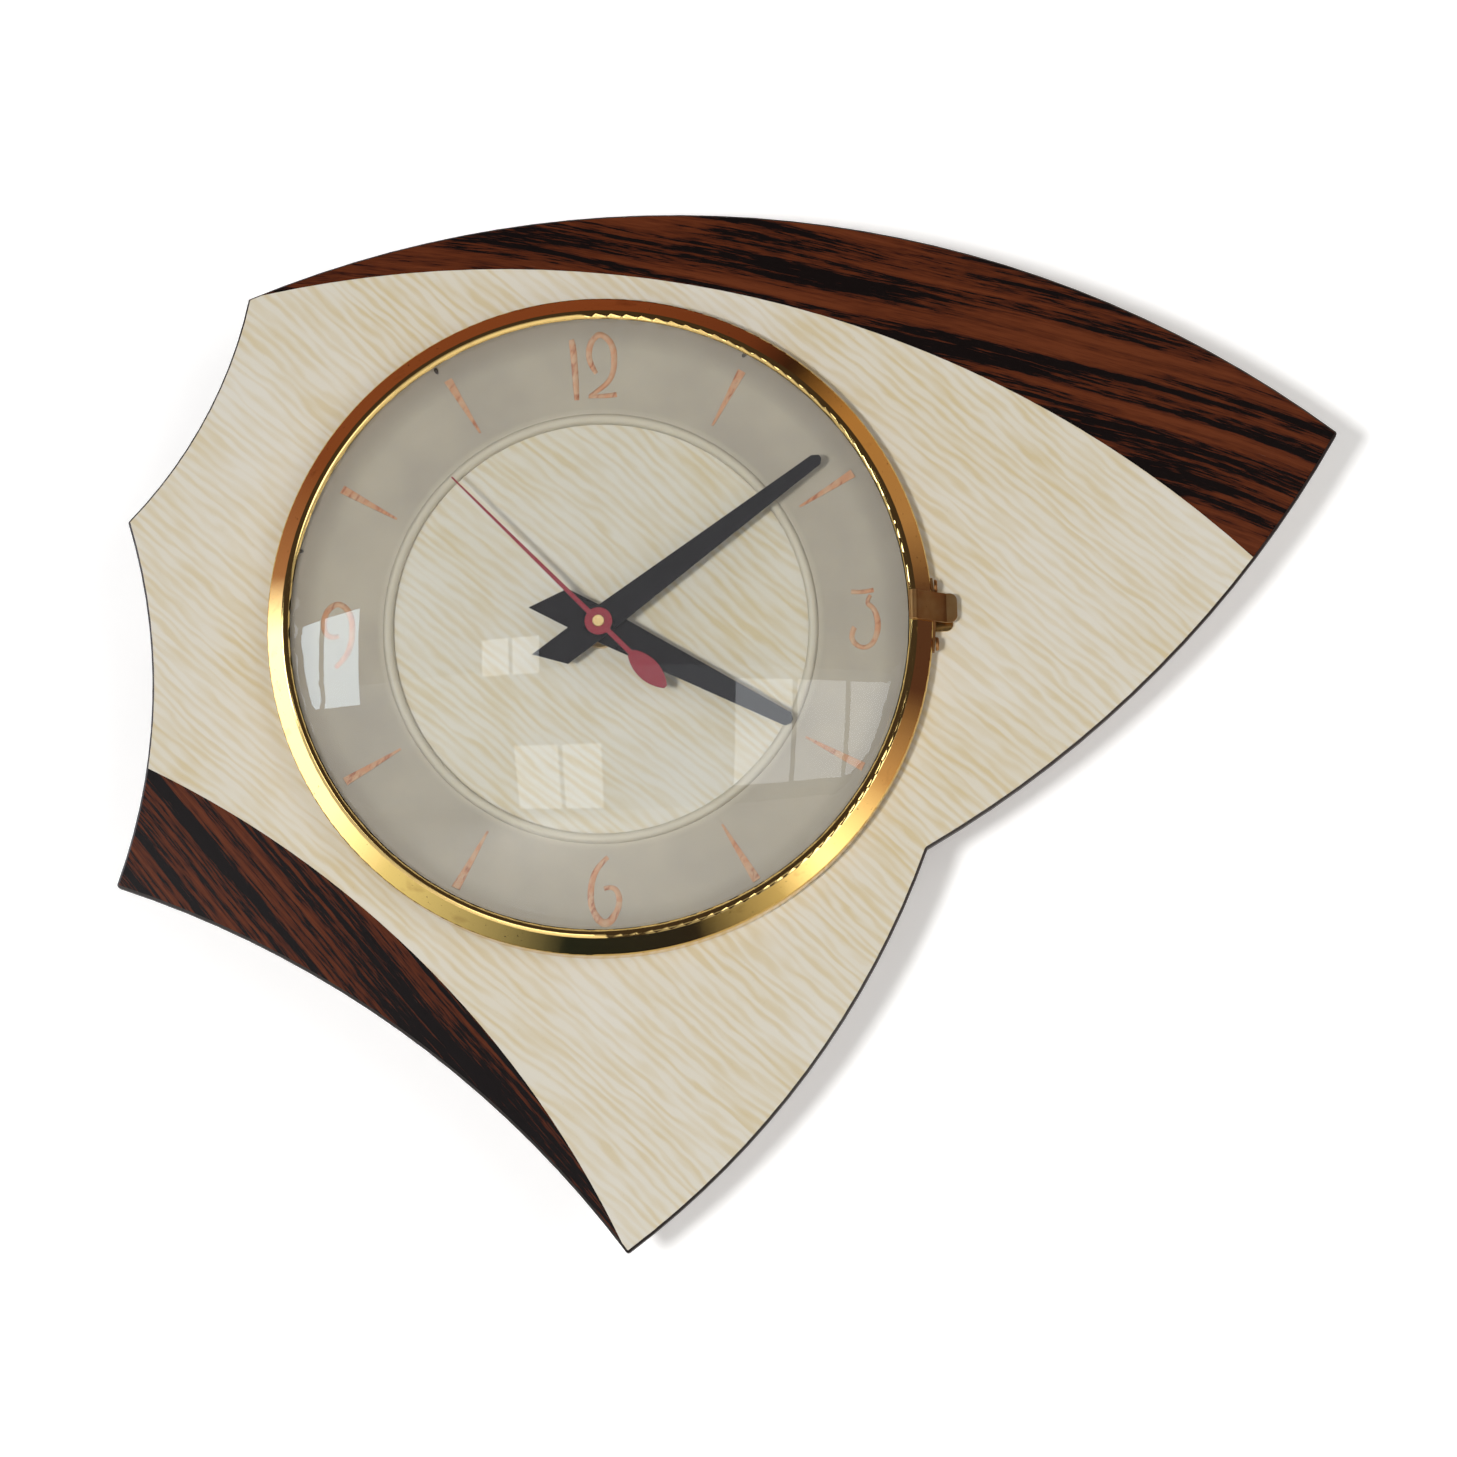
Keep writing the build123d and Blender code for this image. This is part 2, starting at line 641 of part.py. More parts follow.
with BuildPart() as glass:
    edge_angle = degrees(acos(GLASS_R / GLASS_SPHERE_R))
    with BuildSketch(SECTION):
        with BuildLine():
            CenterArc((0, GLASS_CENTRE_D), GLASS_SPHERE_R, edge_angle, 90 - edge_angle)
            CenterArc((0, GLASS_CENTRE_D), GLASS_SPHERE_R - GLASS_T, edge_angle, 90 - edge_angle)
            edge_out = polar(GLASS_SPHERE_R, edge_angle)
            edge_in = polar(GLASS_SPHERE_R - GLASS_T, edge_angle)
            Line((edge_out[0], GLASS_CENTRE_D + edge_out[1]), (edge_in[0], GLASS_CENTRE_D + edge_in[1]))
            apex_d = GLASS_CENTRE_D + GLASS_SPHERE_R
            Line((0, apex_d), (0, apex_d - GLASS_T))
        make_face()
    revolve(axis=Axis.Y)
glass.part.label = "glass"

RETAINER_D = FRONT + GLASS_EDGE_H - GLASS_T * sqrt(1 - (GLASS_R / GLASS_SPHERE_R) ** 2) - RETAINER_T
BEZEL_SLOPE = (BEZEL_R - BEZEL_RIDGE_R) / (BEZEL_RIDGE_H - BEZEL_SKIRT_H)
RETAINER_UP = RETAINER_D + RETAINER_T - SHOULDER_D
RETAINER_R = BEZEL_R - BEZEL_T * hypot(1, BEZEL_SLOPE) - RETAINER_UP * BEZEL_SLOPE - FIT
with BuildPart() as glass_retainer:
    with BuildSketch(layer(RETAINER_D - FIT)):
        Circle(RETAINER_R)
        Circle(RETAINER_R - RETAINER_W, mode=Mode.SUBTRACT)
    extrude(amount=RETAINER_T)
glass_retainer.part.label = "glass_retainer"


# ---------------------------------------------------------------- hinge at nine o'clock
def knuckles(spans):
    """Barrels round the hinge pin between pairs of heights."""
    with BuildPart() as barrels:
        for low, high in spans:
            with BuildSketch(Plane.XY.offset(low)):
                with Locations((HINGE_X, -HINGE_D)):
                    Circle(KNUCKLE_R)
            extrude(amount=high - low)
    return barrels.part


def hinge_bore():
    with BuildPart() as bore:
        with BuildSketch(Plane.XY.offset(-END_TOP)):
            with Locations((HINGE_X, -HINGE_D)):
                Circle(HINGE_PIN_R + HINGE_FIT)
        extrude(amount=2 * END_TOP)
    return bore.part


def hinge_leaf(inner_r, low, high):
    """Strip of the hinge's leaf between two heights, bent to the ring that carries it."""
    with BuildPart() as leaf:
        with BuildSketch(layer(HINGE_D)):
            with Locations((HINGE_X, (low + high) / 2)):
                Rectangle(4 * LEAF_T, high - low)
            Circle(inner_r + LEAF_T, mode=Mode.INTERSECT)
            Circle(inner_r, mode=Mode.SUBTRACT)
        extrude(amount=LEAF_UP)
    return leaf.part


with BuildPart() as hinge_leaf_case:
    add(knuckles([(-MID_TOP, MID_TOP)]))
    add(hinge_leaf(BASE_RING_R, -MID_TOP, MID_TOP))
    add(hinge_bore(), mode=Mode.SUBTRACT)
hinge_leaf_case.part.label = "hinge_leaf_case"

with BuildPart() as hinge_leaf_bezel:
    for low, high in ((-END_TOP, -END_LOW), (END_LOW, END_TOP)):
        add(knuckles([(low, high)]))
        add(hinge_leaf(BEZEL_R - BEZEL_T - LEAF_T, low, high))
    add(hinge_bore(), mode=Mode.SUBTRACT)
hinge_leaf_bezel.part.label = "hinge_leaf_bezel"

with BuildPart() as hinge_pin:
    with BuildSketch(Plane.XY.offset(-END_TOP - KNUCKLE_GAP)):
        with Locations((HINGE_X, -HINGE_D)):
            Circle(HINGE_PIN_R)
    extrude(amount=2 * (END_TOP + KNUCKLE_GAP))
hinge_pin.part.label = "hinge_pin"

# ---------------------------------------------------------------- catch at three o'clock
with BuildPart() as catch_strap:
    with BuildSketch(SECTION.offset(-STRAP_RISE)):
        with BuildLine():
            FilletPolyline(
                (BEZEL_LIP_R + STRAP_T, FRONT + BEZEL_LIP_H + STRAP_T),
                (BEZEL_RIDGE_R, RIDGE_D + STRAP_T / 4),
                (BEZEL_R, SHOULDER_D + STRAP_T / 4),
                (BEZEL_R + STRAP_REACH / 2, FRONT + STRAP_TIP_H),
                (BEZEL_R + STRAP_REACH, FRONT + STRAP_TIP_H + STRAP_T / 4),
                radius=BEZEL_ROUND,
            )
            offset(amount=STRAP_T, side=Side.LEFT)
        make_face()
    extrude(amount=STRAP_W / 2, both=True)
    tip_edges = catch_strap.faces().sort_by(Axis.X)[-1].edges().filter_by(Axis.Y, tolerance=30)
    fillet(tip_edges.group_by(Axis.Z)[0] + tip_edges.group_by(Axis.Z)[-1], STRAP_W / 4)
catch_strap.part.label = "catch_strap"

with BuildPart() as catch_plate:
    with BuildSketch(layer(SHOULDER_D - CATCH_PLATE_H)):
        Circle(BEZEL_R + CATCH_PLATE_T)
        Circle(BEZEL_R, mode=Mode.SUBTRACT)
        Rectangle(
            2 * BEZEL_R,
            CATCH_PLATE_L,
            align=(Align.MIN, Align.CENTER),
            mode=Mode.INTERSECT,
        )
    extrude(amount=CATCH_PLATE_H - BEZEL_ROUND)
catch_plate.part.label = "catch_plate"

RIVET_X = sqrt((BEZEL_R + CATCH_PLATE_T) ** 2 - (CATCH_RIVET_X - CATCH_RIVET_R) ** 2)
with BuildPart() as catch_rivets:
    for side in (-1, 1):
        with BuildSketch(Plane.YZ.offset(RIVET_X)):
            with Locations((-(SHOULDER_D - CATCH_PLATE_H / 2), side * CATCH_RIVET_X)):
                Circle(CATCH_RIVET_R)
        extrude(amount=CATCH_RIVET_R / 2)
    fillet(catch_rivets.faces().filter_by(Axis.X).group_by(Axis.X)[-1].edges(), CATCH_RIVET_R / 3)
catch_rivets.part.label = "catch_rivets"

with BuildPart() as catch_lug:
    with BuildSketch(layer(FRONT)):
        with Locations((BASE_RING_R - BASE_RING_T, 0)):
            Rectangle(LUG_REACH + BASE_RING_T, LUG_W, align=(Align.MIN, Align.CENTER))
        Circle(BASE_RING_R, mode=Mode.SUBTRACT)
    extrude(amount=LUG_T)
    fillet(catch_lug.faces().sort_by(Axis.X)[-1].edges().filter_by(Axis.Y), LUG_W / 4)
catch_lug.part.label = "catch_lug"

# ---------------------------------------------------------------- hands
with BuildPart() as minute_hand:
    with BuildSketch(hand_plane(FRONT + MINUTE_HAND_H, MINUTE_ANGLE)):
        with BuildLine():
            Polyline(
                (-MINUTE_TAIL_LONG, MINUTE_HUB_W / 2),
                (0, MINUTE_HUB_W / 2),
                (MINUTE_L - MINUTE_TIP_W / 2, MINUTE_TIP_W / 2),
                (MINUTE_L, MINUTE_TIP_W / 6),
                (MINUTE_L, -MINUTE_TIP_W / 6),
                (MINUTE_L - MINUTE_TIP_W / 3, -MINUTE_TIP_W / 2),
                (0, -MINUTE_HUB_W / 2),
                (-MINUTE_TAIL_SHORT, -MINUTE_HUB_W / 2),
                close=True,
            )
        make_face()
        Circle(CANNON_R, mode=Mode.SUBTRACT)
    extrude(amount=HAND_T)
minute_hand.part.label = "minute_hand"

with BuildPart() as hour_hand:
    with BuildSketch(hand_plane(FRONT + HOUR_HAND_H, HOUR_ANGLE)):
        with BuildLine():
            Polyline(
                (-HOUR_TAIL_SHORT, HOUR_HUB_W / 2),
                (0, HOUR_HUB_W / 2),
                (HOUR_L - HOUR_TIP_W / 3, HOUR_TIP_W / 2),
                (HOUR_L, HOUR_TIP_W / 6),
                (HOUR_L, -HOUR_TIP_W / 6),
                (HOUR_L - HOUR_TIP_W / 3, -HOUR_TIP_W / 2),
                (0, -HOUR_HUB_W / 2),
                (-HOUR_TAIL_LONG, -HOUR_HUB_W / 2),
                close=True,
            )
        make_face()
        Circle(HOUR_PIPE_R, mode=Mode.SUBTRACT)
    extrude(amount=HAND_T)
hour_hand.part.label = "hour_hand"

LEAF_END = SECOND_STEM + LEAF_L
with BuildPart() as second_hand:
    with BuildSketch(hand_plane(FRONT + SECOND_HAND_H, SECOND_ANGLE)):
        with BuildLine():
            Polyline(
                (-SECOND_STEM - STEM_IN_LEAF, SECOND_ROOT_W / 2),
                (0, SECOND_ROOT_W / 2),
                (SECOND_L, SECOND_TIP_W / 2),
                (SECOND_L, -SECOND_TIP_W / 2),
                (0, -SECOND_ROOT_W / 2),
                (-SECOND_STEM - STEM_IN_LEAF, -SECOND_ROOT_W / 2),
                close=True,
            )
        make_face()
        with BuildLine():
            middle = (-SECOND_STEM - LEAF_L / 2, LEAF_W / 2)
            ThreePointArc((-SECOND_STEM, LEAF_ROOT_W / 2), middle, (-LEAF_END, LEAF_TIP_W / 2))
            tip = (-LEAF_END, -LEAF_TIP_W / 2)
            root = (-SECOND_STEM, -LEAF_ROOT_W / 2)
            Line((-LEAF_END, LEAF_TIP_W / 2), tip)
            ThreePointArc(tip, (middle[0], -middle[1]), root)
            Line(root, (-SECOND_STEM, LEAF_ROOT_W / 2))
        make_face()
        Circle(SECOND_HUB_R)
        Circle(SECONDS_R, mode=Mode.SUBTRACT)
    extrude(amount=SECOND_T)
second_hand.part.label = "second_hand"

# ---------------------------------------------------------------- shafts on the hands' axis
with BuildPart() as centre_bush:
    with BuildSketch(layer(FRONT_WALL_D - BUSH_FLANGE_T)):
        Circle(BUSH_FLANGE_R)
    extrude(amount=BUSH_FLANGE_T)
    with BuildSketch(layer(FRONT_WALL_D - BUSH_FLANGE_T)):
        Circle(BUSH_R)
    extrude(amount=FRONT + BUSH_OUT - FRONT_WALL_D + BUSH_FLANGE_T)
    with BuildSketch(layer(FRONT_WALL_D - BUSH_FLANGE_T)):
        Circle(HOUR_PIPE_R + FIT)
    extrude(amount=FRONT + BUSH_OUT - FRONT_WALL_D + BUSH_FLANGE_T, mode=Mode.SUBTRACT)
centre_bush.part.label = "centre_bush"

with BuildPart() as centre_nut:
    with BuildSketch(layer(FRONT)):
        Circle(NUT_R)
        Circle(BUSH_R, mode=Mode.SUBTRACT)
        with PolarLocations(NUT_R, 2):
            Rectangle(NUT_R / 3, NUT_R / 5, mode=Mode.SUBTRACT)
    extrude(amount=NUT_H)
centre_nut.part.label = "centre_nut"

# Tooth phases that put every pair in mesh at rest
THIRD_PHASE = mesh_phase(THIRD_ANGLE, 0, *THIRD_PAIR_TEETH)
CENTRE_PHASE = mesh_phase(THIRD_ANGLE + 180, 0, *CENTRE_PAIR_TEETH)
INDEX_PHASE = mesh_phase(INDEX_ANGLE, 0, *reversed(INDEX_PAIR_TEETH))
MINUTE_PHASE = mesh_phase(MINUTE_ANGLE_DIAL, 0, *MINUTE_PAIR_TEETH)
HOUR_PHASE = mesh_phase(MINUTE_ANGLE_DIAL + 180, 0, *HOUR_PAIR_TEETH)
SET_PHASE = mesh_phase(-90, MINUTE_PHASE, MINUTE_PAIR_TEETH[1], SET_TEETH)

with BuildPart() as seconds_arbor:
    with BuildSketch(layer(BACK_PLATE_D - PIVOT_OUT)):
        Circle(SECONDS_R)
    extrude(amount=FRONT + SECOND_HAND_H + SECOND_T - BACK_PLATE_D + PIVOT_OUT)
    with BuildSketch(layer(FRONT + SECOND_HAND_H + SECOND_T)):
        Circle(CAP_R)
    extrude(amount=CAP_H)
    fillet(seconds_arbor.faces().sort_by(Axis.Y)[0].edges(), CAP_H / 2)
    with BuildSketch(layer(FRONT + SECOND_HAND_H - CAP_H)):
        Circle(CAP_R)
    extrude(amount=CAP_H)
    with BuildSketch(layer(SECONDS_WHEEL_D)):
        add(crossed_wheel(SECONDS_MODULE, INDEX_PAIR_TEETH[1], 0, SECONDS_R, 4))
    extrude(amount=WHEEL_T)
    with BuildSketch(layer(THIRD_WHEEL_D - LEAF_EXTRA)):
        add(gear(THIRD_MODULE, THIRD_PAIR_TEETH[0], 0, pinion=True))
    extrude(amount=WHEEL_T + 2 * LEAF_EXTRA)
seconds_arbor.part.label = "seconds_arbor"

with BuildPart() as centre_wheel:
    with BuildSketch(layer(CENTRE_WHEEL_D)):
        add(crossed_wheel(CLOCK_MODULE, CENTRE_PAIR_TEETH[1], CENTRE_PHASE, CENTRE_TUBE_R, 5))
    extrude(amount=WHEEL_T)
    with BuildSketch(layer(CENTRE_WHEEL_D)):
        Circle(CENTRE_TUBE_R)
    extrude(amount=FRONT + HOUR_HAND_H - CENTRE_WHEEL_D)
    with BuildSketch(layer(CENTRE_WHEEL_D)):
        Circle(SECONDS_R + FIT)
    extrude(amount=FRONT + HOUR_HAND_H - CENTRE_WHEEL_D, mode=Mode.SUBTRACT)
centre_wheel.part.label = "centre_wheel"

with BuildPart() as cannon_pinion:
    with BuildSketch(layer(MINUTE_WHEEL_D - LEAF_EXTRA / 2)):
        add(gear(CLOCK_MODULE, MINUTE_PAIR_TEETH[0], 0, pinion=True))
    extrude(amount=WHEEL_T + LEAF_EXTRA)
    with BuildSketch(layer(MINUTE_WHEEL_D)):
        Circle(CANNON_R)
    extrude(amount=FRONT + MINUTE_HAND_H + HAND_T + LEAF_EXTRA - MINUTE_WHEEL_D)
    with BuildSketch(layer(MINUTE_WHEEL_D - LEAF_EXTRA)):
        Circle(CENTRE_TUBE_R + FIT)
    extrude(amount=FRONT + MINUTE_HAND_H + HAND_T + 2 * LEAF_EXTRA - MINUTE_WHEEL_D, mode=Mode.SUBTRACT)
cannon_pinion.part.label = "cannon_pinion"

with BuildPart() as hour_wheel:
    with BuildSketch(layer(HOUR_WHEEL_D)):
        add(crossed_wheel(HOUR_MODULE, HOUR_PAIR_TEETH[1], HOUR_PHASE, HOUR_PIPE_R, 4))
    extrude(amount=WHEEL_T)
    with BuildSketch(layer(HOUR_WHEEL_D)):
        Circle(HOUR_PIPE_R)
        Circle(CANNON_R + FIT, mode=Mode.SUBTRACT)
    extrude(amount=FRONT + HOUR_HAND_H + HAND_T + LEAF_EXTRA - HOUR_WHEEL_D)
hour_wheel.part.label = "hour_wheel"

with BuildPart() as minute_wheel:
    with BuildSketch(arbor_plane(MINUTE_AXIS, MINUTE_WHEEL_D)):
        add(crossed_wheel(CLOCK_MODULE, MINUTE_PAIR_TEETH[1], MINUTE_PHASE, ARBOR_R + FIT, 4))
    extrude(amount=WHEEL_T)
    with BuildSketch(arbor_plane(MINUTE_AXIS, MINUTE_WHEEL_D + WHEEL_T)):
        add(gear(HOUR_MODULE, HOUR_PAIR_TEETH[0], 0, pinion=True))
        Circle(ARBOR_R + FIT, mode=Mode.SUBTRACT)
    extrude(amount=HOUR_WHEEL_D + LEAF_EXTRA - MINUTE_WHEEL_D)
minute_wheel.part.label = "minute_wheel"


# ---------------------------------------------------------------- wheels between the plates
with BuildPart() as third_wheel:
    with BuildSketch(arbor_plane(THIRD_AXIS, BACK_PLATE_D - PIVOT_OUT)):
        Circle(ARBOR_R)
    extrude(amount=FRONT_PLATE_D + PLATE_T - BACK_PLATE_D + PIVOT_OUT)
    with BuildSketch(arbor_plane(THIRD_AXIS, THIRD_WHEEL_D)):
        add(crossed_wheel(THIRD_MODULE, THIRD_PAIR_TEETH[1], THIRD_PHASE, ARBOR_R, 5))
    extrude(amount=WHEEL_T)
    with BuildSketch(arbor_plane(THIRD_AXIS, CENTRE_WHEEL_D - LEAF_EXTRA)):
        add(gear(CLOCK_MODULE, CENTRE_PAIR_TEETH[0], 0, pinion=True))
    extrude(amount=WHEEL_T + 2 * LEAF_EXTRA)
third_wheel.part.label = "third_wheel"

with BuildPart() as index_wheel:
    with BuildSketch(arbor_plane(INDEX_AXIS, INDEX_WHEEL_D)):
        Circle(ARBOR_R)
    extrude(amount=FRONT_PLATE_D + PLATE_T - INDEX_WHEEL_D)
    with BuildSketch(arbor_plane(INDEX_AXIS, SECONDS_WHEEL_D - LEAF_EXTRA)):
        add(gear(SECONDS_MODULE, INDEX_PAIR_TEETH[0], INDEX_PHASE, pinion=True))
    extrude(amount=WHEEL_T + 2 * LEAF_EXTRA)
    with BuildSketch(arbor_plane(INDEX_AXIS, INDEX_WHEEL_D)):
        with BuildLine():
            saw = []
            for tooth in range(INDEX_TEETH):
                saw.append(polar(INDEX_R, tooth * 360 / INDEX_TEETH))
                saw.append(polar(INDEX_R - SAW_DEPTH, tooth * 360 / INDEX_TEETH + SAW_LEAN))
            Polyline(*saw, close=True)
        make_face()
        with PolarLocations(INDEX_R / 2, 4):
            Circle(INDEX_R / 5, mode=Mode.SUBTRACT)
    extrude(amount=WHEEL_T)
index_wheel.part.label = "index_wheel"

KNOB_TOP_D = SET_KNOB_D + SET_KNOB_H
with BuildPart() as set_knob:
    with BuildSketch(arbor_plane(SET_AXIS, SET_KNOB_D)):
        Circle(SET_KNOB_R)
        with PolarLocations(SET_KNOB_R, SET_KNOB_NOTCHES):
            Circle(SET_KNOB_NOTCH_R, mode=Mode.SUBTRACT)
    extrude(amount=SET_KNOB_H)
    with BuildSketch(arbor_plane(SET_AXIS, KNOB_TOP_D)):
        Circle(ARBOR_R)
    extrude(amount=MINUTE_WHEEL_D + WHEEL_T + LEAF_EXTRA - KNOB_TOP_D)
    with BuildSketch(arbor_plane(SET_AXIS, MINUTE_WHEEL_D - LEAF_EXTRA / 2)):
        add(gear(CLOCK_MODULE, SET_TEETH, SET_PHASE, pinion=True))
    extrude(amount=WHEEL_T + LEAF_EXTRA)
set_knob.part.label = "set_knob"

# ---------------------------------------------------------------- plates, pillars and their screws
with BuildPart() as front_plate:
    with BuildSketch(layer(FRONT_PLATE_D)):
        with Locations((PLATE_X, PLATE_Z)):
            RectangleRounded(PLATE_W, PLATE_H, PLATE_CORNER)
        Circle(CENTRE_TUBE_R + FIT, mode=Mode.SUBTRACT)
        with Locations(THIRD_AXIS, INDEX_AXIS, SET_AXIS):
            Circle(ARBOR_R + FIT, mode=Mode.SUBTRACT)
        with Locations(*PILLAR_SPOTS):
            Circle(PLATE_SCREW_R, mode=Mode.SUBTRACT)
    extrude(amount=PLATE_T)
    with BuildSketch(arbor_plane(MINUTE_AXIS, FRONT_PLATE_D + PLATE_T)):
        Circle(ARBOR_R)
    extrude(amount=HOUR_WHEEL_D + WHEEL_T + LEAF_EXTRA - FRONT_PLATE_D - PLATE_T)
front_plate.part.label = "front_plate"

with BuildPart() as back_plate:
    with BuildSketch(layer(BACK_PLATE_D)):
        with Locations((PLATE_X, PLATE_Z)):
            RectangleRounded(PLATE_W, PLATE_H, PLATE_CORNER)
        Circle(SECONDS_R + FIT, mode=Mode.SUBTRACT)
        with Locations(THIRD_AXIS, INDEX_AXIS, SET_AXIS, BALANCE_AXIS):
            Circle(ARBOR_R + FIT, mode=Mode.SUBTRACT)
        with Locations(*PILLAR_SPOTS):
            Circle(PLATE_SCREW_R, mode=Mode.SUBTRACT)
        with Locations(polar(hypot(*THIRD_AXIS) + WINDOW_OUT, THIRD_ANGLE)):
            Circle(WINDOW_R, mode=Mode.SUBTRACT)
    extrude(amount=PLATE_T)
back_plate.part.label = "back_plate"

with BuildPart() as plate_pillars:
    with BuildSketch(layer(BACK_PLATE_D + PLATE_T)):
        with Locations(*PILLAR_SPOTS):
            Circle(PILLAR_R)
            Circle(PLATE_SCREW_R, mode=Mode.SUBTRACT)
    extrude(amount=FRONT_PLATE_D - BACK_PLATE_D - PLATE_T)
plate_pillars.part.label = "plate_pillars"

PLATE_SCREW_HEAD = PLATE_SCREW_R * 1.4
with BuildPart() as plate_screws:
    with BuildSketch(layer(BACK_PLATE_D)):
        with Locations(*PILLAR_SPOTS):
            Circle(PLATE_SCREW_R)
    extrude(amount=FRONT_WALL_D - BACK_PLATE_D)
    with BuildSketch(layer(BACK_PLATE_D - PLATE_SCREW_HEAD)):
        with Locations(*PILLAR_SPOTS):
            Circle(PLATE_SCREW_R * 2)
    extrude(amount=PLATE_SCREW_HEAD)
    with BuildSketch(layer(BACK_PLATE_D - PLATE_SCREW_HEAD)):
        with Locations(*PILLAR_SPOTS):
            Rectangle(PLATE_SCREW_R * 4, PLATE_SCREW_R / 2)
    extrude(amount=PLATE_SCREW_HEAD / 2, mode=Mode.SUBTRACT)
plate_screws.part.label = "plate_screws"

# ---------------------------------------------------------------- balance and its drive
with BuildPart() as balance_staff:
    with BuildSketch(arbor_plane(BALANCE_AXIS, BRIDGE_D + BRIDGE_T / 4)):
        Circle(ARBOR_R)
    extrude(amount=BACK_PLATE_D + PLATE_T / 2 - BRIDGE_D - BRIDGE_T / 4)
    with BuildSketch(arbor_plane(BALANCE_AXIS, SPRING_D)):
        Circle(ROLLER_R)
    extrude(amount=BALANCE_D - SPRING_D)
    with BuildSketch(arbor_plane(BALANCE_AXIS, INDEX_WHEEL_D)):
        Circle(ROLLER_R)
    extrude(amount=WHEEL_T)
balance_staff.part.label = "balance_staff"

with BuildPart() as balance_wheel:
    with BuildSketch(arbor_plane(BALANCE_AXIS, BALANCE_D)):
        Circle(BALANCE_R)
        Circle(BALANCE_R - BALANCE_RIM_W, mode=Mode.SUBTRACT)
        Circle(BALANCE_HUB_R)
        Rectangle(2 * BALANCE_R - BALANCE_RIM_W, BALANCE_RIM_W, rotation=INDEX_ANGLE)
        Circle(ARBOR_R, mode=Mode.SUBTRACT)
    extrude(amount=BALANCE_T)
balance_wheel.part.label = "balance_wheel"

MAGNET_CIRCLE = BALANCE_R - BALANCE_RIM_W / 2
MAGNET_ANGLES = (INDEX_ANGLE - 90, INDEX_ANGLE + 90)
with BuildPart() as balance_magnets:
    with BuildSketch(arbor_plane(BALANCE_AXIS, BALANCE_D + BALANCE_T)):
        for angle in MAGNET_ANGLES:
            with Locations(polar(MAGNET_CIRCLE, angle)):
                Circle(MAGNET_R)
    extrude(amount=MAGNET_T)
balance_magnets.part.label = "balance_magnets"

with BuildPart() as hairspring:
    with BuildSketch(arbor_plane(BALANCE_AXIS, SPRING_D)):
        with BuildLine() as coil_line:
            start_r = SPRING_R0
            for half in range(2 * SPRING_TURNS):
                end_r = start_r + SPRING_STEP / 2
                sign = 1 if half % 2 == 0 else -1
                bow = (start_r + end_r) / 2
                top = (sign * (start_r - end_r) / 2, sign * bow)
                ThreePointArc((sign * start_r, 0), top, (-sign * end_r, 0))
                start_r = end_r
        trace(line_width=SPRING_W)
    extrude(amount=SPRING_H)
hairspring.part.label = "hairspring"
SPRING_OUT_R = SPRING_R0 + SPRING_TURNS * SPRING_STEP

with BuildPart() as hairspring_stud:
    with BuildSketch(arbor_plane(BALANCE_AXIS, BRIDGE_D + BRIDGE_T)):
        with Locations((SPRING_OUT_R + ARBOR_R + SPRING_W / 2, 0)):
            Circle(ARBOR_R)
    extrude(amount=SPRING_D + SPRING_H - BRIDGE_D - BRIDGE_T)
hairspring_stud.part.label = "hairspring_stud"

BRIDGE_REACH = BALANCE_R + BRIDGE_W / 2 + BRIDGE_CLEAR
with BuildPart() as balance_bridge:
    with BuildSketch(arbor_plane(BALANCE_AXIS, BRIDGE_D)):
        SlotCenterToCenter(2 * BRIDGE_REACH, BRIDGE_W, rotation=INDEX_ANGLE + 90)
        Circle(ARBOR_R + FIT, mode=Mode.SUBTRACT)
    extrude(amount=BRIDGE_T)
    with BuildSketch(arbor_plane(BALANCE_AXIS, BRIDGE_D + BRIDGE_T)):
        with PolarLocations(BRIDGE_REACH, 2, INDEX_ANGLE + 90):
            Circle(BRIDGE_W / 2)
    extrude(amount=BACK_PLATE_D - BRIDGE_D - BRIDGE_T)
balance_bridge.part.label = "balance_bridge"

with BuildPart() as regulator_lever:
    with BuildSketch(arbor_plane(BALANCE_AXIS, BRIDGE_D - REGULATOR_T)):
        Circle(BRIDGE_W / 3)
        with Locations(Rotation(0, 0, INDEX_ANGLE)):
            Rectangle(REGULATOR_L, BRIDGE_W / 5, align=(Align.MIN, Align.CENTER))
            with Locations((REGULATOR_L, 0)):
                Circle(BRIDGE_W / 5)
        Circle(ARBOR_R + FIT, mode=Mode.SUBTRACT)
    extrude(amount=REGULATOR_T)
regulator_lever.part.label = "regulator_lever"

COIL_CENTRE = (
    BALANCE_AXIS[0] + MAGNET_CIRCLE * cos(radians(INDEX_ANGLE)),
    BALANCE_AXIS[1] + MAGNET_CIRCLE * sin(radians(INDEX_ANGLE)),
)
with BuildPart() as drive_coil:
    with BuildSketch(arbor_plane(COIL_CENTRE, BACK_PLATE_D - COIL_H)):
        Circle(COIL_R)
        Circle(COIL_R / 3, mode=Mode.SUBTRACT)
    extrude(amount=COIL_H)
drive_coil.part.label = "drive_coil"


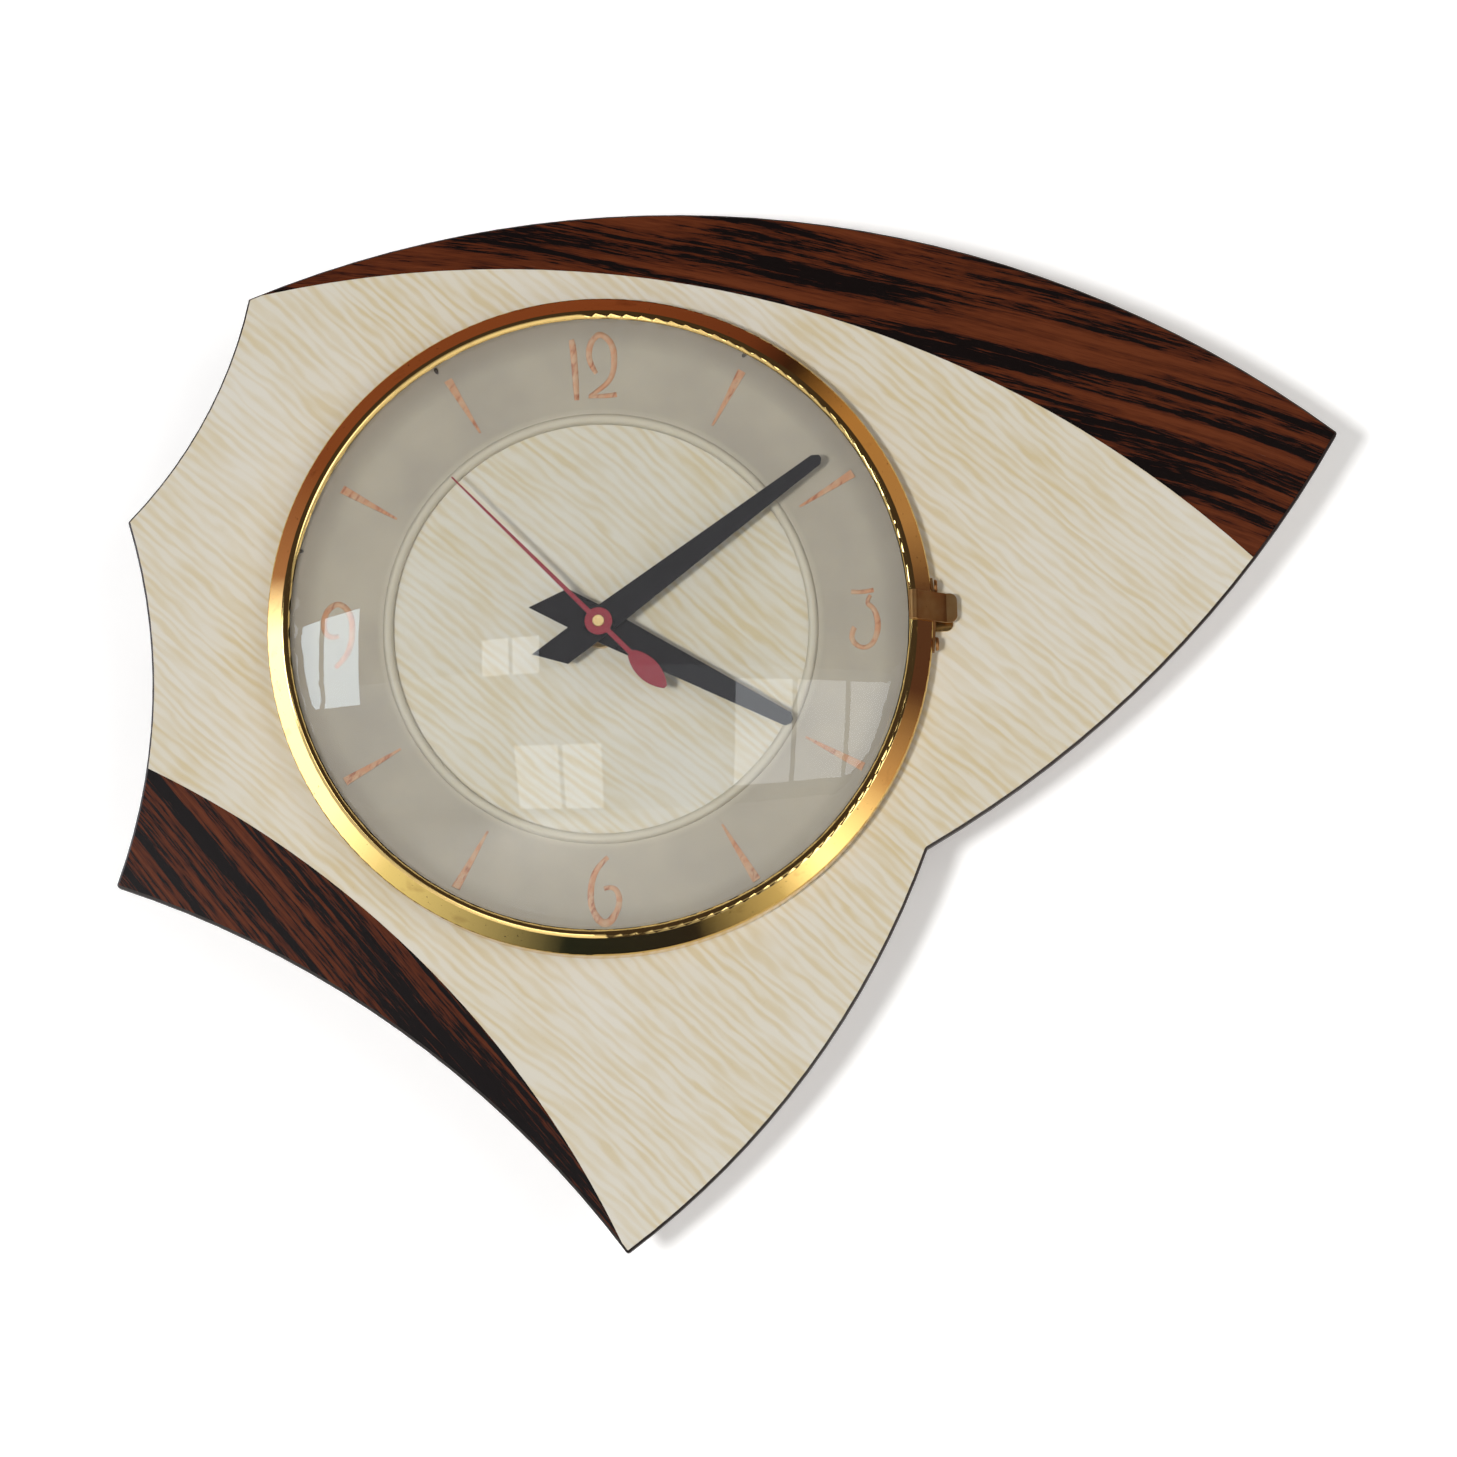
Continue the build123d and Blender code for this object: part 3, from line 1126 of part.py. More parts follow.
# ---------------------------------------------------------------- housing behind the board
CELL_HALF = CELL_L / 2
CONTACT_SPOTS = (-CELL_HALF - CONTACT_X, CELL_HALF + CELL_NUB_L + CONTACT_T + CELL_GAP)
with BuildPart() as movement_case:
    with BuildSketch(layer(0)):
        with Locations((0, CASE_Z)):
            RectangleRounded(CASE_W, CASE_H, CASE_CORNER)
    extrude(amount=CASE_DEPTH)
    fillet(movement_case.faces().sort_by(Axis.Y)[-1].edges(), CASE_REAR_ROUND)
    with BuildSketch(layer(0)):
        with Locations((0, CASE_Z)):
            RectangleRounded(INNER_W, CASE_H - 2 * CASE_WALL, CASE_CORNER - CASE_WALL)
    extrude(amount=FRONT_WALL_D, mode=Mode.SUBTRACT)
    with BuildSketch(layer(COVER_T)):
        with Locations((0, RIB_Z)):
            Rectangle(INNER_W, RIB_T)
        with Locations(*BOSS_SPOTS):
            Circle(BOSS_R)
    extrude(amount=FRONT_WALL_D - COVER_T)
    with BuildSketch(layer(0)):
        for side in (-1, 1):
            end_spot = (side * (BAY_END_X - CASE_WALL / 2), (CELL_BAY_TOP + CELL_BAY_BOTTOM) / 2)
            with Locations(end_spot):
                Rectangle(CASE_WALL, CELL_BAY_TOP - CELL_BAY_BOTTOM)
    extrude(amount=FRONT_WALL_D)
    with BuildSketch(layer(COVER_T)):
        with Locations(*BOSS_SPOTS):
            Circle(COVER_SCREW_R)
    extrude(amount=COVER_SCREW_BITE, mode=Mode.SUBTRACT)
    with BuildSketch(layer(FRONT_PLATE_D + PLATE_T)):
        with Locations(*PILLAR_SPOTS):
            Circle(BOSS_R)
    extrude(amount=FRONT_WALL_D - FRONT_PLATE_D - PLATE_T)
    with BuildSketch(layer(FRONT_PLATE_D + PLATE_T)):
        with Locations(*PILLAR_SPOTS):
            Circle(PLATE_SCREW_R)
    extrude(amount=FRONT_WALL_D - FRONT_PLATE_D - PLATE_T, mode=Mode.SUBTRACT)
    # Cradle ribs under the cell and the end ribs that back its contacts
    with BuildSketch(layer(CELL_D)):
        end_ribs = (CONTACT_SPOTS[0] - CASE_WALL / 2, CONTACT_SPOTS[1] + CASE_WALL / 2)
        for x in (-CRADLE_X, CRADLE_X, *end_ribs):
            with Locations((x, CELL_Z)):
                Rectangle(CASE_WALL, CELL_BAY_TOP - CELL_BAY_BOTTOM)
    extrude(amount=FRONT_WALL_D - CELL_D)
    with BuildSketch(Plane.YZ.offset(-CELL_HALF - CELL_NUB_L)):
        with Locations((-CELL_D, CELL_Z)):
            Circle(CELL_R + CELL_GAP)
    extrude(amount=CELL_L + 2 * CELL_NUB_L, mode=Mode.SUBTRACT)
    # Ears that take the screws into the board
    with BuildSketch(layer(CASE_DEPTH - EAR_T)):
        with Locations(*EAR_SPOTS):
            Circle(EAR_R)
        with Locations((0, CASE_Z)):
            Rectangle(CASE_W - 2 * CASE_CORNER, CASE_H - CASE_WALL, mode=Mode.SUBTRACT)
        with Locations(*EAR_SPOTS):
            Circle(CASE_SCREW_R, mode=Mode.SUBTRACT)
    extrude(amount=EAR_T)
    with BuildSketch(layer(FRONT_WALL_D)):
        Circle(BUSH_R)
    extrude(amount=CASE_WALL, mode=Mode.SUBTRACT)
    # Hinge holes of the battery door, through the bay's end walls
    with BuildSketch(Plane.YZ):
        with Locations((-DOOR_AXIS_D, CELL_BAY_BOTTOM + DOOR_BARREL_R + DOOR_GAP)):
            Circle(DOOR_PIN_R + FIT)
    extrude(amount=BAY_END_X, both=True, mode=Mode.SUBTRACT)
    # Holes for the hanger screws in the top wall
    with BuildSketch(Plane.XY.offset(BAY_TOP)):
        for side in (-1, 1):
            with Locations((HANGER_X + side * HANGER_SCREW_X, -HANGER_FOOT / 2 - HANGER_T)):
                Circle(HANGER_SCREW_R)
    extrude(amount=CASE_WALL, mode=Mode.SUBTRACT)
movement_case.part.label = "movement_case"

CASE_SCREW_HEAD_R = EAR_R / 2
with BuildPart() as case_screws:
    with BuildSketch(layer(CASE_DEPTH - EAR_T)):
        with Locations(*EAR_SPOTS):
            Circle(CASE_SCREW_R)
    extrude(amount=EAR_T + CASE_SCREW_BITE)
    with BuildSketch(layer(CASE_DEPTH - EAR_T)):
        with Locations(*EAR_SPOTS):
            Circle(CASE_SCREW_HEAD_R)
    extrude(amount=-CASE_SCREW_R)
    with BuildSketch(layer(CASE_DEPTH - EAR_T - CASE_SCREW_R)):
        with Locations(*EAR_SPOTS):
            Rectangle(2 * CASE_SCREW_HEAD_R, CASE_SCREW_R / 3)
    extrude(amount=CASE_SCREW_R / 2, mode=Mode.SUBTRACT)
case_screws.part.label = "case_screws"

COVER_HEAD_R = 2 * COVER_SCREW_R
COVER_HEAD_D = COVER_T / 3
with BuildPart() as dust_cover:
    with BuildSketch(layer(0)):
        with Locations((0, (BAY_TOP + BAY_BOTTOM) / 2)):
            RectangleRounded(
                INNER_W - 2 * COVER_GAP,
                BAY_TOP - BAY_BOTTOM - 2 * COVER_GAP,
                CASE_CORNER - CASE_WALL,
            )
        with Locations(SET_AXIS):
            Circle(SET_KNOB_R + 2 * DOOR_GAP, mode=Mode.SUBTRACT)
        with Locations(*BOSS_SPOTS):
            Circle(COVER_SCREW_R, mode=Mode.SUBTRACT)
        with Locations(BALANCE_AXIS):
            with BuildLine():
                CenterArc((0, 0), REGULATOR_L, INDEX_ANGLE - REGULATOR_SWING, 2 * REGULATOR_SWING)
            slot = trace(line_width=BRIDGE_W / 2, mode=Mode.PRIVATE)
        add(slot, mode=Mode.SUBTRACT)
    extrude(amount=COVER_T)
    with BuildSketch(layer(0)):
        with Locations(*BOSS_SPOTS):
            Circle(COVER_HEAD_R + FIT)
    extrude(amount=2 * COVER_HEAD_D, mode=Mode.SUBTRACT)
dust_cover.part.label = "dust_cover"

with BuildPart() as cover_screws:
    with BuildSketch(layer(COVER_HEAD_D)):
        with Locations(*BOSS_SPOTS):
            Circle(COVER_HEAD_R)
    extrude(amount=COVER_HEAD_D)
    with BuildSketch(layer(2 * COVER_HEAD_D)):
        with Locations(*BOSS_SPOTS):
            Circle(COVER_SCREW_R)
    extrude(amount=COVER_T - 2 * COVER_HEAD_D + COVER_SCREW_BITE)
cover_screws.part.label = "cover_screws"

# ---------------------------------------------------------------- hanger
with BuildPart() as hanger_bracket:
    with BuildSketch(layer(0)):
        with Locations((HANGER_X, CASE_TOP)):
            Rectangle(HANGER_W, HANGER_UP, align=(Align.CENTER, Align.MIN))
    extrude(amount=HANGER_T)
    top_corners = hanger_bracket.edges().filter_by(Axis.Y).group_by(Axis.Z)[-1]
    fillet(top_corners, HANGER_W / 4)
    with BuildSketch(layer(0)):
        with Locations((HANGER_X, CASE_TOP + KEYHOLE_UP)):
            Circle(KEYHOLE_R)
            Rectangle(KEYHOLE_SLOT_W, KEYHOLE_SLOT_UP, align=(Align.CENTER, Align.MIN))
        with Locations((HANGER_X, CASE_TOP + KEYHOLE_UP + KEYHOLE_SLOT_UP)):
            Circle(KEYHOLE_SLOT_W / 2)
    extrude(amount=HANGER_T, mode=Mode.SUBTRACT)
    with BuildSketch(Plane.XY.offset(CASE_TOP)):
        with Locations((HANGER_X, 0)):
            Rectangle(HANGER_W, HANGER_FOOT + HANGER_T, align=(Align.CENTER, Align.MAX))
        for side in (-1, 1):
            with Locations((HANGER_X + side * HANGER_SCREW_X, -HANGER_FOOT / 2 - HANGER_T)):
                Circle(HANGER_SCREW_R, mode=Mode.SUBTRACT)
    extrude(amount=HANGER_T)
hanger_bracket.part.label = "hanger_bracket"

with BuildPart() as hanger_screws:
    for side in (-1, 1):
        spot = (HANGER_X + side * HANGER_SCREW_X, -HANGER_FOOT / 2 - HANGER_T)
        with BuildSketch(Plane.XY.offset(BAY_TOP)):
            with Locations(spot):
                Circle(HANGER_SCREW_R)
        extrude(amount=CASE_WALL + HANGER_T)
        with BuildSketch(Plane.XY.offset(CASE_TOP + HANGER_T)):
            with Locations(spot):
                Circle(2 * HANGER_SCREW_R)
        extrude(amount=HANGER_SCREW_R)
hanger_screws.part.label = "hanger_screws"

# ---------------------------------------------------------------- cell, contacts and door
with BuildPart() as battery:
    with BuildSketch(Plane.YZ.offset(-CELL_HALF)):
        with Locations((-CELL_D, CELL_Z)):
            Circle(CELL_R)
    extrude(amount=CELL_L)
    chamfer(battery.edges().filter_by(GeomType.CIRCLE), CELL_GAP * 2)
    with BuildSketch(Plane.YZ.offset(CELL_HALF)):
        with Locations((-CELL_D, CELL_Z)):
            Circle(CELL_NUB_R)
    extrude(amount=CELL_NUB_L)
battery.part.label = "battery"

with BuildPart() as battery_contact_positive:
    with BuildSketch(Plane.XZ.offset(CELL_D - CONTACT_W / 2)):
        with Locations((CONTACT_SPOTS[1] - CONTACT_T, CELL_Z)):
            Rectangle(CONTACT_T, CONTACT_W, align=(Align.MIN, Align.CENTER))
    extrude(amount=FRONT_WALL_D - CELL_D + CONTACT_W / 2)
battery_contact_positive.part.label = "battery_contact_positive"

with BuildPart() as battery_contact_negative:
    with BuildSketch(Plane.XZ.offset(CELL_D - CONTACT_W / 2)):
        with BuildLine() as leaf_line:
            Polyline(
                (CONTACT_SPOTS[0], CELL_Z - CONTACT_W / 2),
                (CONTACT_SPOTS[0], CELL_Z + CONTACT_W / 2),
                (-CELL_HALF - CONTACT_T - CELL_GAP, CELL_Z),
            )
            offset(amount=CONTACT_T, side=Side.RIGHT)
        make_face()
    extrude(amount=FRONT_WALL_D - CELL_D + CONTACT_W / 2)
battery_contact_negative.part.label = "battery_contact_negative"

DOOR_AXIS_Z = CELL_BAY_BOTTOM + DOOR_BARREL_R + DOOR_GAP
DOOR_W = 2 * (BAY_END_X - CASE_WALL - DOOR_GAP)
DOOR_BACK_D = DOOR_AXIS_D - DOOR_T / 2
with BuildPart() as battery_door:
    with BuildSketch(Plane.YZ.offset(-DOOR_W / 2)):
        with Locations((-DOOR_AXIS_D, DOOR_AXIS_Z)):
            Circle(DOOR_BARREL_R)
    extrude(amount=DOOR_W)
    with BuildSketch(Plane.YZ.offset(-BAY_END_X)):
        with Locations((-DOOR_AXIS_D, DOOR_AXIS_Z)):
            Circle(DOOR_PIN_R)
    extrude(amount=2 * BAY_END_X)
    with BuildSketch(layer(DOOR_BACK_D)):
        with Locations((0, DOOR_AXIS_Z)):
            Rectangle(DOOR_W, CELL_BAY_TOP - DOOR_GAP - DOOR_AXIS_Z, align=(Align.CENTER, Align.MIN))
    extrude(amount=DOOR_T)
battery_door.part.label = "battery_door"

# ---------------------------------------------------------------- electronics
BOARD_D = BACK_PLATE_D - BOARD_STANDOFF - BOARD_T
with BuildPart() as circuit_board:
    with BuildSketch(layer(BOARD_D)):
        with Locations((BOARD_X, BOARD_Z)):
            Rectangle(BOARD_W, BOARD_L)
    extrude(amount=BOARD_T)
    with BuildSketch(layer(BOARD_D + BOARD_T)):
        with Locations((BOARD_X, BOARD_Z)):
            with GridLocations(0, BOARD_L - 4 * BOARD_T, 1, 2):
                Circle(BOARD_T)
    extrude(amount=BOARD_STANDOFF)
circuit_board.part.label = "circuit_board"

with BuildPart() as transistor:
    with BuildSketch(layer(BOARD_D - TRANSISTOR_H)):
        with Locations((BOARD_X - BOARD_W / 4, BOARD_Z + BOARD_L / 4)):
            Circle(TRANSISTOR_R)
    extrude(amount=TRANSISTOR_H)
    fillet(transistor.faces().sort_by(Axis.Y)[-1].edges(), TRANSISTOR_R / 5)
transistor.part.label = "transistor"

with BuildPart() as capacitor:
    with BuildSketch(Plane.YZ.offset(BOARD_X - CAPACITOR_L / 2)):
        with Locations((-BOARD_D + CAPACITOR_R, BOARD_Z - BOARD_L / 4)):
            Circle(CAPACITOR_R)
    extrude(amount=CAPACITOR_L)
capacitor.part.label = "capacitor"

# ---------------------------------------------------------------- files
os.makedirs("parts", exist_ok=True)
PIECES = (
    board, laminate_cream, laminate_dark_upper, laminate_dark_lower,
    base_ring, base_ring_screws, chapter_ring, chapter_ring_pins, hour_marks,
    bezel, glass, glass_retainer, hinge_leaf_case, hinge_leaf_bezel, hinge_pin,
    catch_strap, catch_plate, catch_rivets, catch_lug,
    minute_hand, hour_hand, second_hand, centre_bush, centre_nut,
    seconds_arbor, centre_wheel, cannon_pinion, hour_wheel, minute_wheel,
    third_wheel, index_wheel, set_knob,
    front_plate, back_plate, plate_pillars, plate_screws,
    balance_staff, balance_wheel, balance_magnets, hairspring, hairspring_stud,
    balance_bridge, regulator_lever, drive_coil,
    movement_case, case_screws, dust_cover, cover_screws, hanger_bracket, hanger_screws,
    battery, battery_contact_positive, battery_contact_negative, battery_door,
    circuit_board, transistor, capacitor,
)
for piece in PIECES:
    export_step(piece.part, f"parts/{piece.part.label}.step")
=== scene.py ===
# %% [markdown]
# # A 1960s battery wall clock
# The clock is a shaped laminate board with a round glazed dial. Its solids come from the CAD
# model, in metres, with the dial facing -Y and +Z up. This file gives them their finishes,
# adds what is too fine for CAD, such as the numerals, and sets the light and the camera.
# The first cell loads the solids.

# %% Load the clock
import math

import bpy
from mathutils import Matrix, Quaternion, Vector


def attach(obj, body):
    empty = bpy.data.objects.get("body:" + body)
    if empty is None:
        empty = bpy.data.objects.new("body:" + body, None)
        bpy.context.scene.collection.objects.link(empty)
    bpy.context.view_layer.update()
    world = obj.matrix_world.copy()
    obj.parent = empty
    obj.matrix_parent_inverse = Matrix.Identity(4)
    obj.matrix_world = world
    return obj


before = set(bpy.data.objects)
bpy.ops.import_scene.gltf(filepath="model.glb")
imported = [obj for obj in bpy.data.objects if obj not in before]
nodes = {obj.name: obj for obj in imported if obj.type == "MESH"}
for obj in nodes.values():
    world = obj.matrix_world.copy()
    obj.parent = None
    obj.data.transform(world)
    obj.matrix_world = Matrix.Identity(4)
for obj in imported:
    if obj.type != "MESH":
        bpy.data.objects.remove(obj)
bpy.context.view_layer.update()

MM = 0.001
scene = bpy.context.scene


# %% [markdown]
# ## Camera
# The clock is seen from a little below and to the right, with a long lens, so that its
# sides hardly converge. A camera in Blender looks along its own -Z axis, so it is turned
# until that axis points at the aim, and then rolled a little about it.

# %% Camera
CAMERA_SIDE = math.radians(1.8)
CAMERA_BELOW = math.radians(8.9)
CAMERA_ROLL = math.radians(-1.43)
CAMERA_LENS = 150.0
SENSOR = 36.0
VIEW_WIDTH = 371.5 * MM
AIM = Vector((32.0 * MM, -38.0 * MM, -26.8 * MM))

to_camera = Vector(
    (
        math.sin(CAMERA_SIDE) * math.cos(CAMERA_BELOW),
        -math.cos(CAMERA_SIDE) * math.cos(CAMERA_BELOW),
        -math.sin(CAMERA_BELOW),
    )
)
lens_camera = bpy.data.cameras.new("camera")
lens_camera.lens = CAMERA_LENS
lens_camera.sensor_width = SENSOR
camera = bpy.data.objects.new("camera", lens_camera)
scene.collection.objects.link(camera)
camera.location = AIM + to_camera * (VIEW_WIDTH * CAMERA_LENS / SENSOR)
camera.rotation_mode = "QUATERNION"
look = (-to_camera).to_track_quat("-Z", "Y")
camera.rotation_quaternion = look @ Quaternion((0, 0, 1), CAMERA_ROLL)
scene.camera = camera
print("camera at", [round(v, 3) for v in camera.location])


# %% [markdown]
# ## Wall, floor and light
# The clock hangs on a white wall. The wall glows a little where it is looked at, so that it
# stays white in the render and still takes the clock's soft shadow, and the glow puts no
# light on the clock. It is clear from behind, so that the back of the clock can be looked
# at too, and metal and glass mirror the white room in its place.

# %% Wall and floor
WALL_GLOW = 0.24
WALL_COLOUR = 0.97
FLOOR_GLOW = 0.62
FLOOR_COLOUR = 0.45
WALL_GAP = 0.3 * MM
FLOOR_Z = -0.9
STAGE_HALF = 3.0


def combine(tree, operation, first, second, clamp=False):
    """A math node on two inputs, each a number or the output of another node."""
    node = tree.nodes.new("ShaderNodeMath")
    node.operation = operation
    node.use_clamp = clamp
    for socket, value in zip(node.inputs, (first, second)):
        if isinstance(value, (int, float)):
            socket.default_value = value
        else:
            tree.links.new(value, socket)
    return node.outputs[0]


def seen_straight(tree, path):
    """1 for rays that end here straight, through glass or off a mirror, and 0 for lighting."""
    looked_at = combine(tree, "MAXIMUM", path["Is Camera Ray"], path["Is Transmission Ray"])
    mirrored = combine(tree, "MAXIMUM", looked_at, path["Is Glossy Ray"])
    return combine(tree, "SUBTRACT", mirrored, path["Diffuse Depth"], clamp=True)


def stage_finish(name, glow_level, pale):
    """A pale surface that glows where it is looked at and is clear from behind."""
    finish = bpy.data.materials.new(name)
    finish.use_nodes = True
    tree = finish.node_tree
    tree.nodes.clear()
    path = tree.nodes.new("ShaderNodeLightPath").outputs
    side = tree.nodes.new("ShaderNodeNewGeometry").outputs
    front = combine(tree, "SUBTRACT", 1.0, side["Backfacing"])
    solid = combine(tree, "SUBTRACT", front, path["Is Shadow Ray"], clamp=True)
    glow = tree.nodes.new("ShaderNodeEmission")
    glow.inputs["Color"].default_value = (1, 1, 1, 1)
    strength = combine(tree, "MULTIPLY", seen_straight(tree, path), glow_level)
    tree.links.new(strength, glow.inputs["Strength"])
    matt = tree.nodes.new("ShaderNodeBsdfDiffuse")
    matt.inputs["Color"].default_value = (pale, pale, pale, 1)
    both = tree.nodes.new("ShaderNodeAddShader")
    tree.links.new(glow.outputs[0], both.inputs[0])
    tree.links.new(matt.outputs[0], both.inputs[1])
    clear = tree.nodes.new("ShaderNodeBsdfTransparent")
    mix = tree.nodes.new("ShaderNodeMixShader")
    tree.links.new(solid, mix.inputs[0])
    tree.links.new(clear.outputs[0], mix.inputs[1])
    tree.links.new(both.outputs[0], mix.inputs[2])
    output = tree.nodes.new("ShaderNodeOutputMaterial")
    tree.links.new(mix.outputs[0], output.inputs[0])
    return finish


def stage_plane(name, corners, finish):
    mesh = bpy.data.meshes.new(name)
    mesh.from_pydata(corners, [], [range(len(corners))])
    plane = bpy.data.objects.new(name, mesh)
    plane.data.materials.append(finish)
    scene.collection.objects.link(plane)
    return plane


white = stage_finish("white_wall", WALL_GLOW, WALL_COLOUR)
pale_floor = stage_finish("pale_floor", FLOOR_GLOW, FLOOR_COLOUR)
square = ((-1, -1), (1, -1), (1, 1), (-1, 1))
wall_corners = [(x * STAGE_HALF, WALL_GAP, z * STAGE_HALF) for x, z in square]
wall = stage_plane("wall", wall_corners, white)
wall.visible_glossy = False
wall.visible_transmission = False
floor_corners = [(x * STAGE_HALF, y, FLOOR_Z) for x, y in ((-1, -6), (1, -6), (1, 0), (-1, 0))]
stage_plane("floor", floor_corners, pale_floor)
print("wall and floor made")


# %% [markdown]
# A large soft lamp low on the left throws the shadow up and to the right, and weaker ones
# fill the other sides. The lamps are hidden from mirror reflections, because a round lamp
# would show as a white disc on the domed glass; the cards of the next cell are made for
# that. The world is white where it is seen or mirrored, and dimmer where it lights the clock.
# Light that has already met a matt surface counts as lighting, also when it comes in
# through the glass, so the dial is lit like the board around it.

# %% Lamps and world
def soft_lamp(name, place, size, watts, colour=(1, 1, 1)):
    light = bpy.data.lights.new(name, "AREA")
    light.shape = "DISK"
    light.size = size
    light.energy = watts
    light.color = colour
    lamp = bpy.data.objects.new(name, light)
    lamp.location = place
    lamp.rotation_mode = "QUATERNION"
    lamp.rotation_quaternion = (-Vector(place)).to_track_quat("-Z", "Y")
    lamp.visible_glossy = False
    lamp.visible_transmission = False
    scene.collection.objects.link(lamp)


soft_lamp("key_lamp", (-0.50, -2.3, -0.38), 0.30, 32)
soft_lamp("fill_lamp", (1.0, -1.5, 0.1), 1.2, 8.0, (1.0, 0.96, 0.90))
soft_lamp("top_lamp", (0.1, -1.4, 1.8), 1.0, 1.8)
soft_lamp("rear_lamp", (-0.8, 2.2, 0.8), 1.2, 22)
soft_lamp("rear_low_lamp", (1.2, 1.8, -0.8), 1.2, 10)

WORLD_LIGHT = 0.16
world = bpy.data.worlds.new("studio")
scene.world = world
world.use_nodes = True
tree = world.node_tree
tree.nodes.clear()
direct = seen_straight(tree, tree.nodes.new("ShaderNodeLightPath").outputs)
light_room = tree.nodes.new("ShaderNodeBackground")
light_room.inputs["Color"].default_value = (1, 1, 1, 1)
light_room.inputs["Strength"].default_value = WORLD_LIGHT
white_room = tree.nodes.new("ShaderNodeBackground")
white_room.inputs["Color"].default_value = (1, 1, 1, 1)
white_room.inputs["Strength"].default_value = 1.0
mix = tree.nodes.new("ShaderNodeMixShader")
tree.links.new(direct, mix.inputs[0])
tree.links.new(light_room.outputs[0], mix.inputs[1])
tree.links.new(white_room.outputs[0], mix.inputs[2])
output = tree.nodes.new("ShaderNodeOutputWorld")
tree.links.new(mix.outputs[0], output.inputs[0])
scene.view_settings.view_transform = "Standard"


# %% [markdown]
# ## Cards for the reflections
# Polished brass has hardly any colour of its own: it shows the room around it. A paper ring
# stands round the clock, painted brown, black and white by turns, as a photographer sets
# cards about a watch. Three wide flags and the panes of four windows in front do the same
# for the domed glass and the lacquer. All of them are seen by mirror reflections alone, so
# they neither light the clock nor cast a shadow.

# %% Reflection cards
RING_R = 0.245
RING_REACH = 0.13
RING_GAP = 0.001
RING_SIDES = 180
PANE_AWAY = 1.2
# Clock angle in degrees, colour and strength of the paper ring
RING_CARDS = (
    (0, (0.30, 0.10, 0.07), 0.80),
    (24, (0.24, 0.08, 0.06), 0.70),
    (33, (0.05, 0.03, 0.03), 0.60),
    (45, (0.50, 0.30, 0.16), 1.00),
    (66, (0.60, 0.40, 0.28), 0.80),
    (80, (0.18, 0.10, 0.10), 0.60),
    (98, (0.18, 0.09, 0.09), 0.60),
    (116, (0.85, 0.60, 0.45), 0.85),
    (135, (1.00, 0.98, 0.90), 2.40),
    (146, (0.70, 0.66, 0.50), 1.00),
    (164, (0.03, 0.03, 0.04), 1.00),
    (190, (0.02, 0.03, 0.04), 1.00),
    (206, (0.80, 0.85, 0.75), 0.55),
    (228, (0.95, 1.00, 0.85), 1.10),
    (243, (1.00, 1.04, 1.15), 2.40),
    (276, (1.00, 1.05, 1.25), 2.80),
    (286, (0.60, 0.35, 0.30), 0.80),
    (306, (0.32, 0.12, 0.09), 0.80),
    (360, (0.30, 0.10, 0.07), 0.80),
)
# Name, distance, bearings, heights, colour and strength of the flags
FLAGS = (
    ("dark_flag", 2.2, (-75, 75), (1.0, 80), (0.30, 0.24, 0.22), 0.20),
    ("grey_flag", 2.3, (-75, 75), (-80, 1.0), (0.88, 0.91, 0.96), 0.50),
    ("sky_flag", 2.25, (-75, -6), (-40, 7.5), (0.82, 0.87, 0.95), 0.80),
)


def mirror_only(piece):
    piece.visible_camera = False
    piece.visible_diffuse = False
    piece.visible_transmission = False
    piece.visible_volume_scatter = False
    piece.visible_shadow = False


def card_finish(name, colour, strength):
    finish = bpy.data.materials.new(name)
    finish.use_nodes = True
    tree = finish.node_tree
    tree.nodes.clear()
    glow = tree.nodes.new("ShaderNodeEmission")
    glow.inputs["Color"].default_value = (*colour, 1)
    glow.inputs["Strength"].default_value = strength
    output = tree.nodes.new("ShaderNodeOutputMaterial")
    tree.links.new(glow.outputs[0], output.inputs[0])
    return finish


def ring_colour(angle):
    """Colour of the paper ring, blended between the two cards on either side."""
    for (start, first, low), (stop, second, high) in zip(RING_CARDS, RING_CARDS[1:]):
        if start <= angle <= stop:
            part = (angle - start) / (stop - start)
            return [low * a * (1 - part) + high * b * part for a, b in zip(first, second)]


def paper_ring():
    around = RING_SIDES
    mesh = bpy.data.meshes.new("paper_ring")
    rim = [math.radians(360 * i / around) for i in range(around)]
    edges = (-RING_GAP, -RING_REACH)
    corners = [(RING_R * math.sin(a), y, RING_R * math.cos(a)) for y in edges for a in rim]
    faces = [(i, (i + 1) % around, around + (i + 1) % around, around + i) for i in range(around)]
    mesh.from_pydata(corners, [], faces)
    paint = mesh.color_attributes.new("card_colour", "FLOAT_COLOR", "POINT")
    for i in range(2 * around):
        paint.data[i].color = (*ring_colour(360 * (i % around) / around), 1)
    finish = card_finish("paper_ring", (1, 1, 1), 1.0)
    tree = finish.node_tree
    colour = tree.nodes.new("ShaderNodeAttribute")
    colour.attribute_name = "card_colour"
    glow = next(node for node in tree.nodes if node.type == "EMISSION")
    tree.links.new(colour.outputs["Color"], glow.inputs["Color"])
    mesh.materials.append(finish)
    ring = bpy.data.objects.new("paper_ring", mesh)
    scene.collection.objects.link(ring)
    mirror_only(ring)


def front_card(name, away, sides, heights, finish):
    """A card in front of the clock, between two bearings and two heights in degrees."""
    left, right = (away * math.tan(math.radians(a)) for a in sides)
    low, high = (away * math.tan(math.radians(a)) for a in heights)
    corners = [(left, -away, low), (right, -away, low), (right, -away, high), (left, -away, high)]
    mirror_only(stage_plane(name, corners, finish))


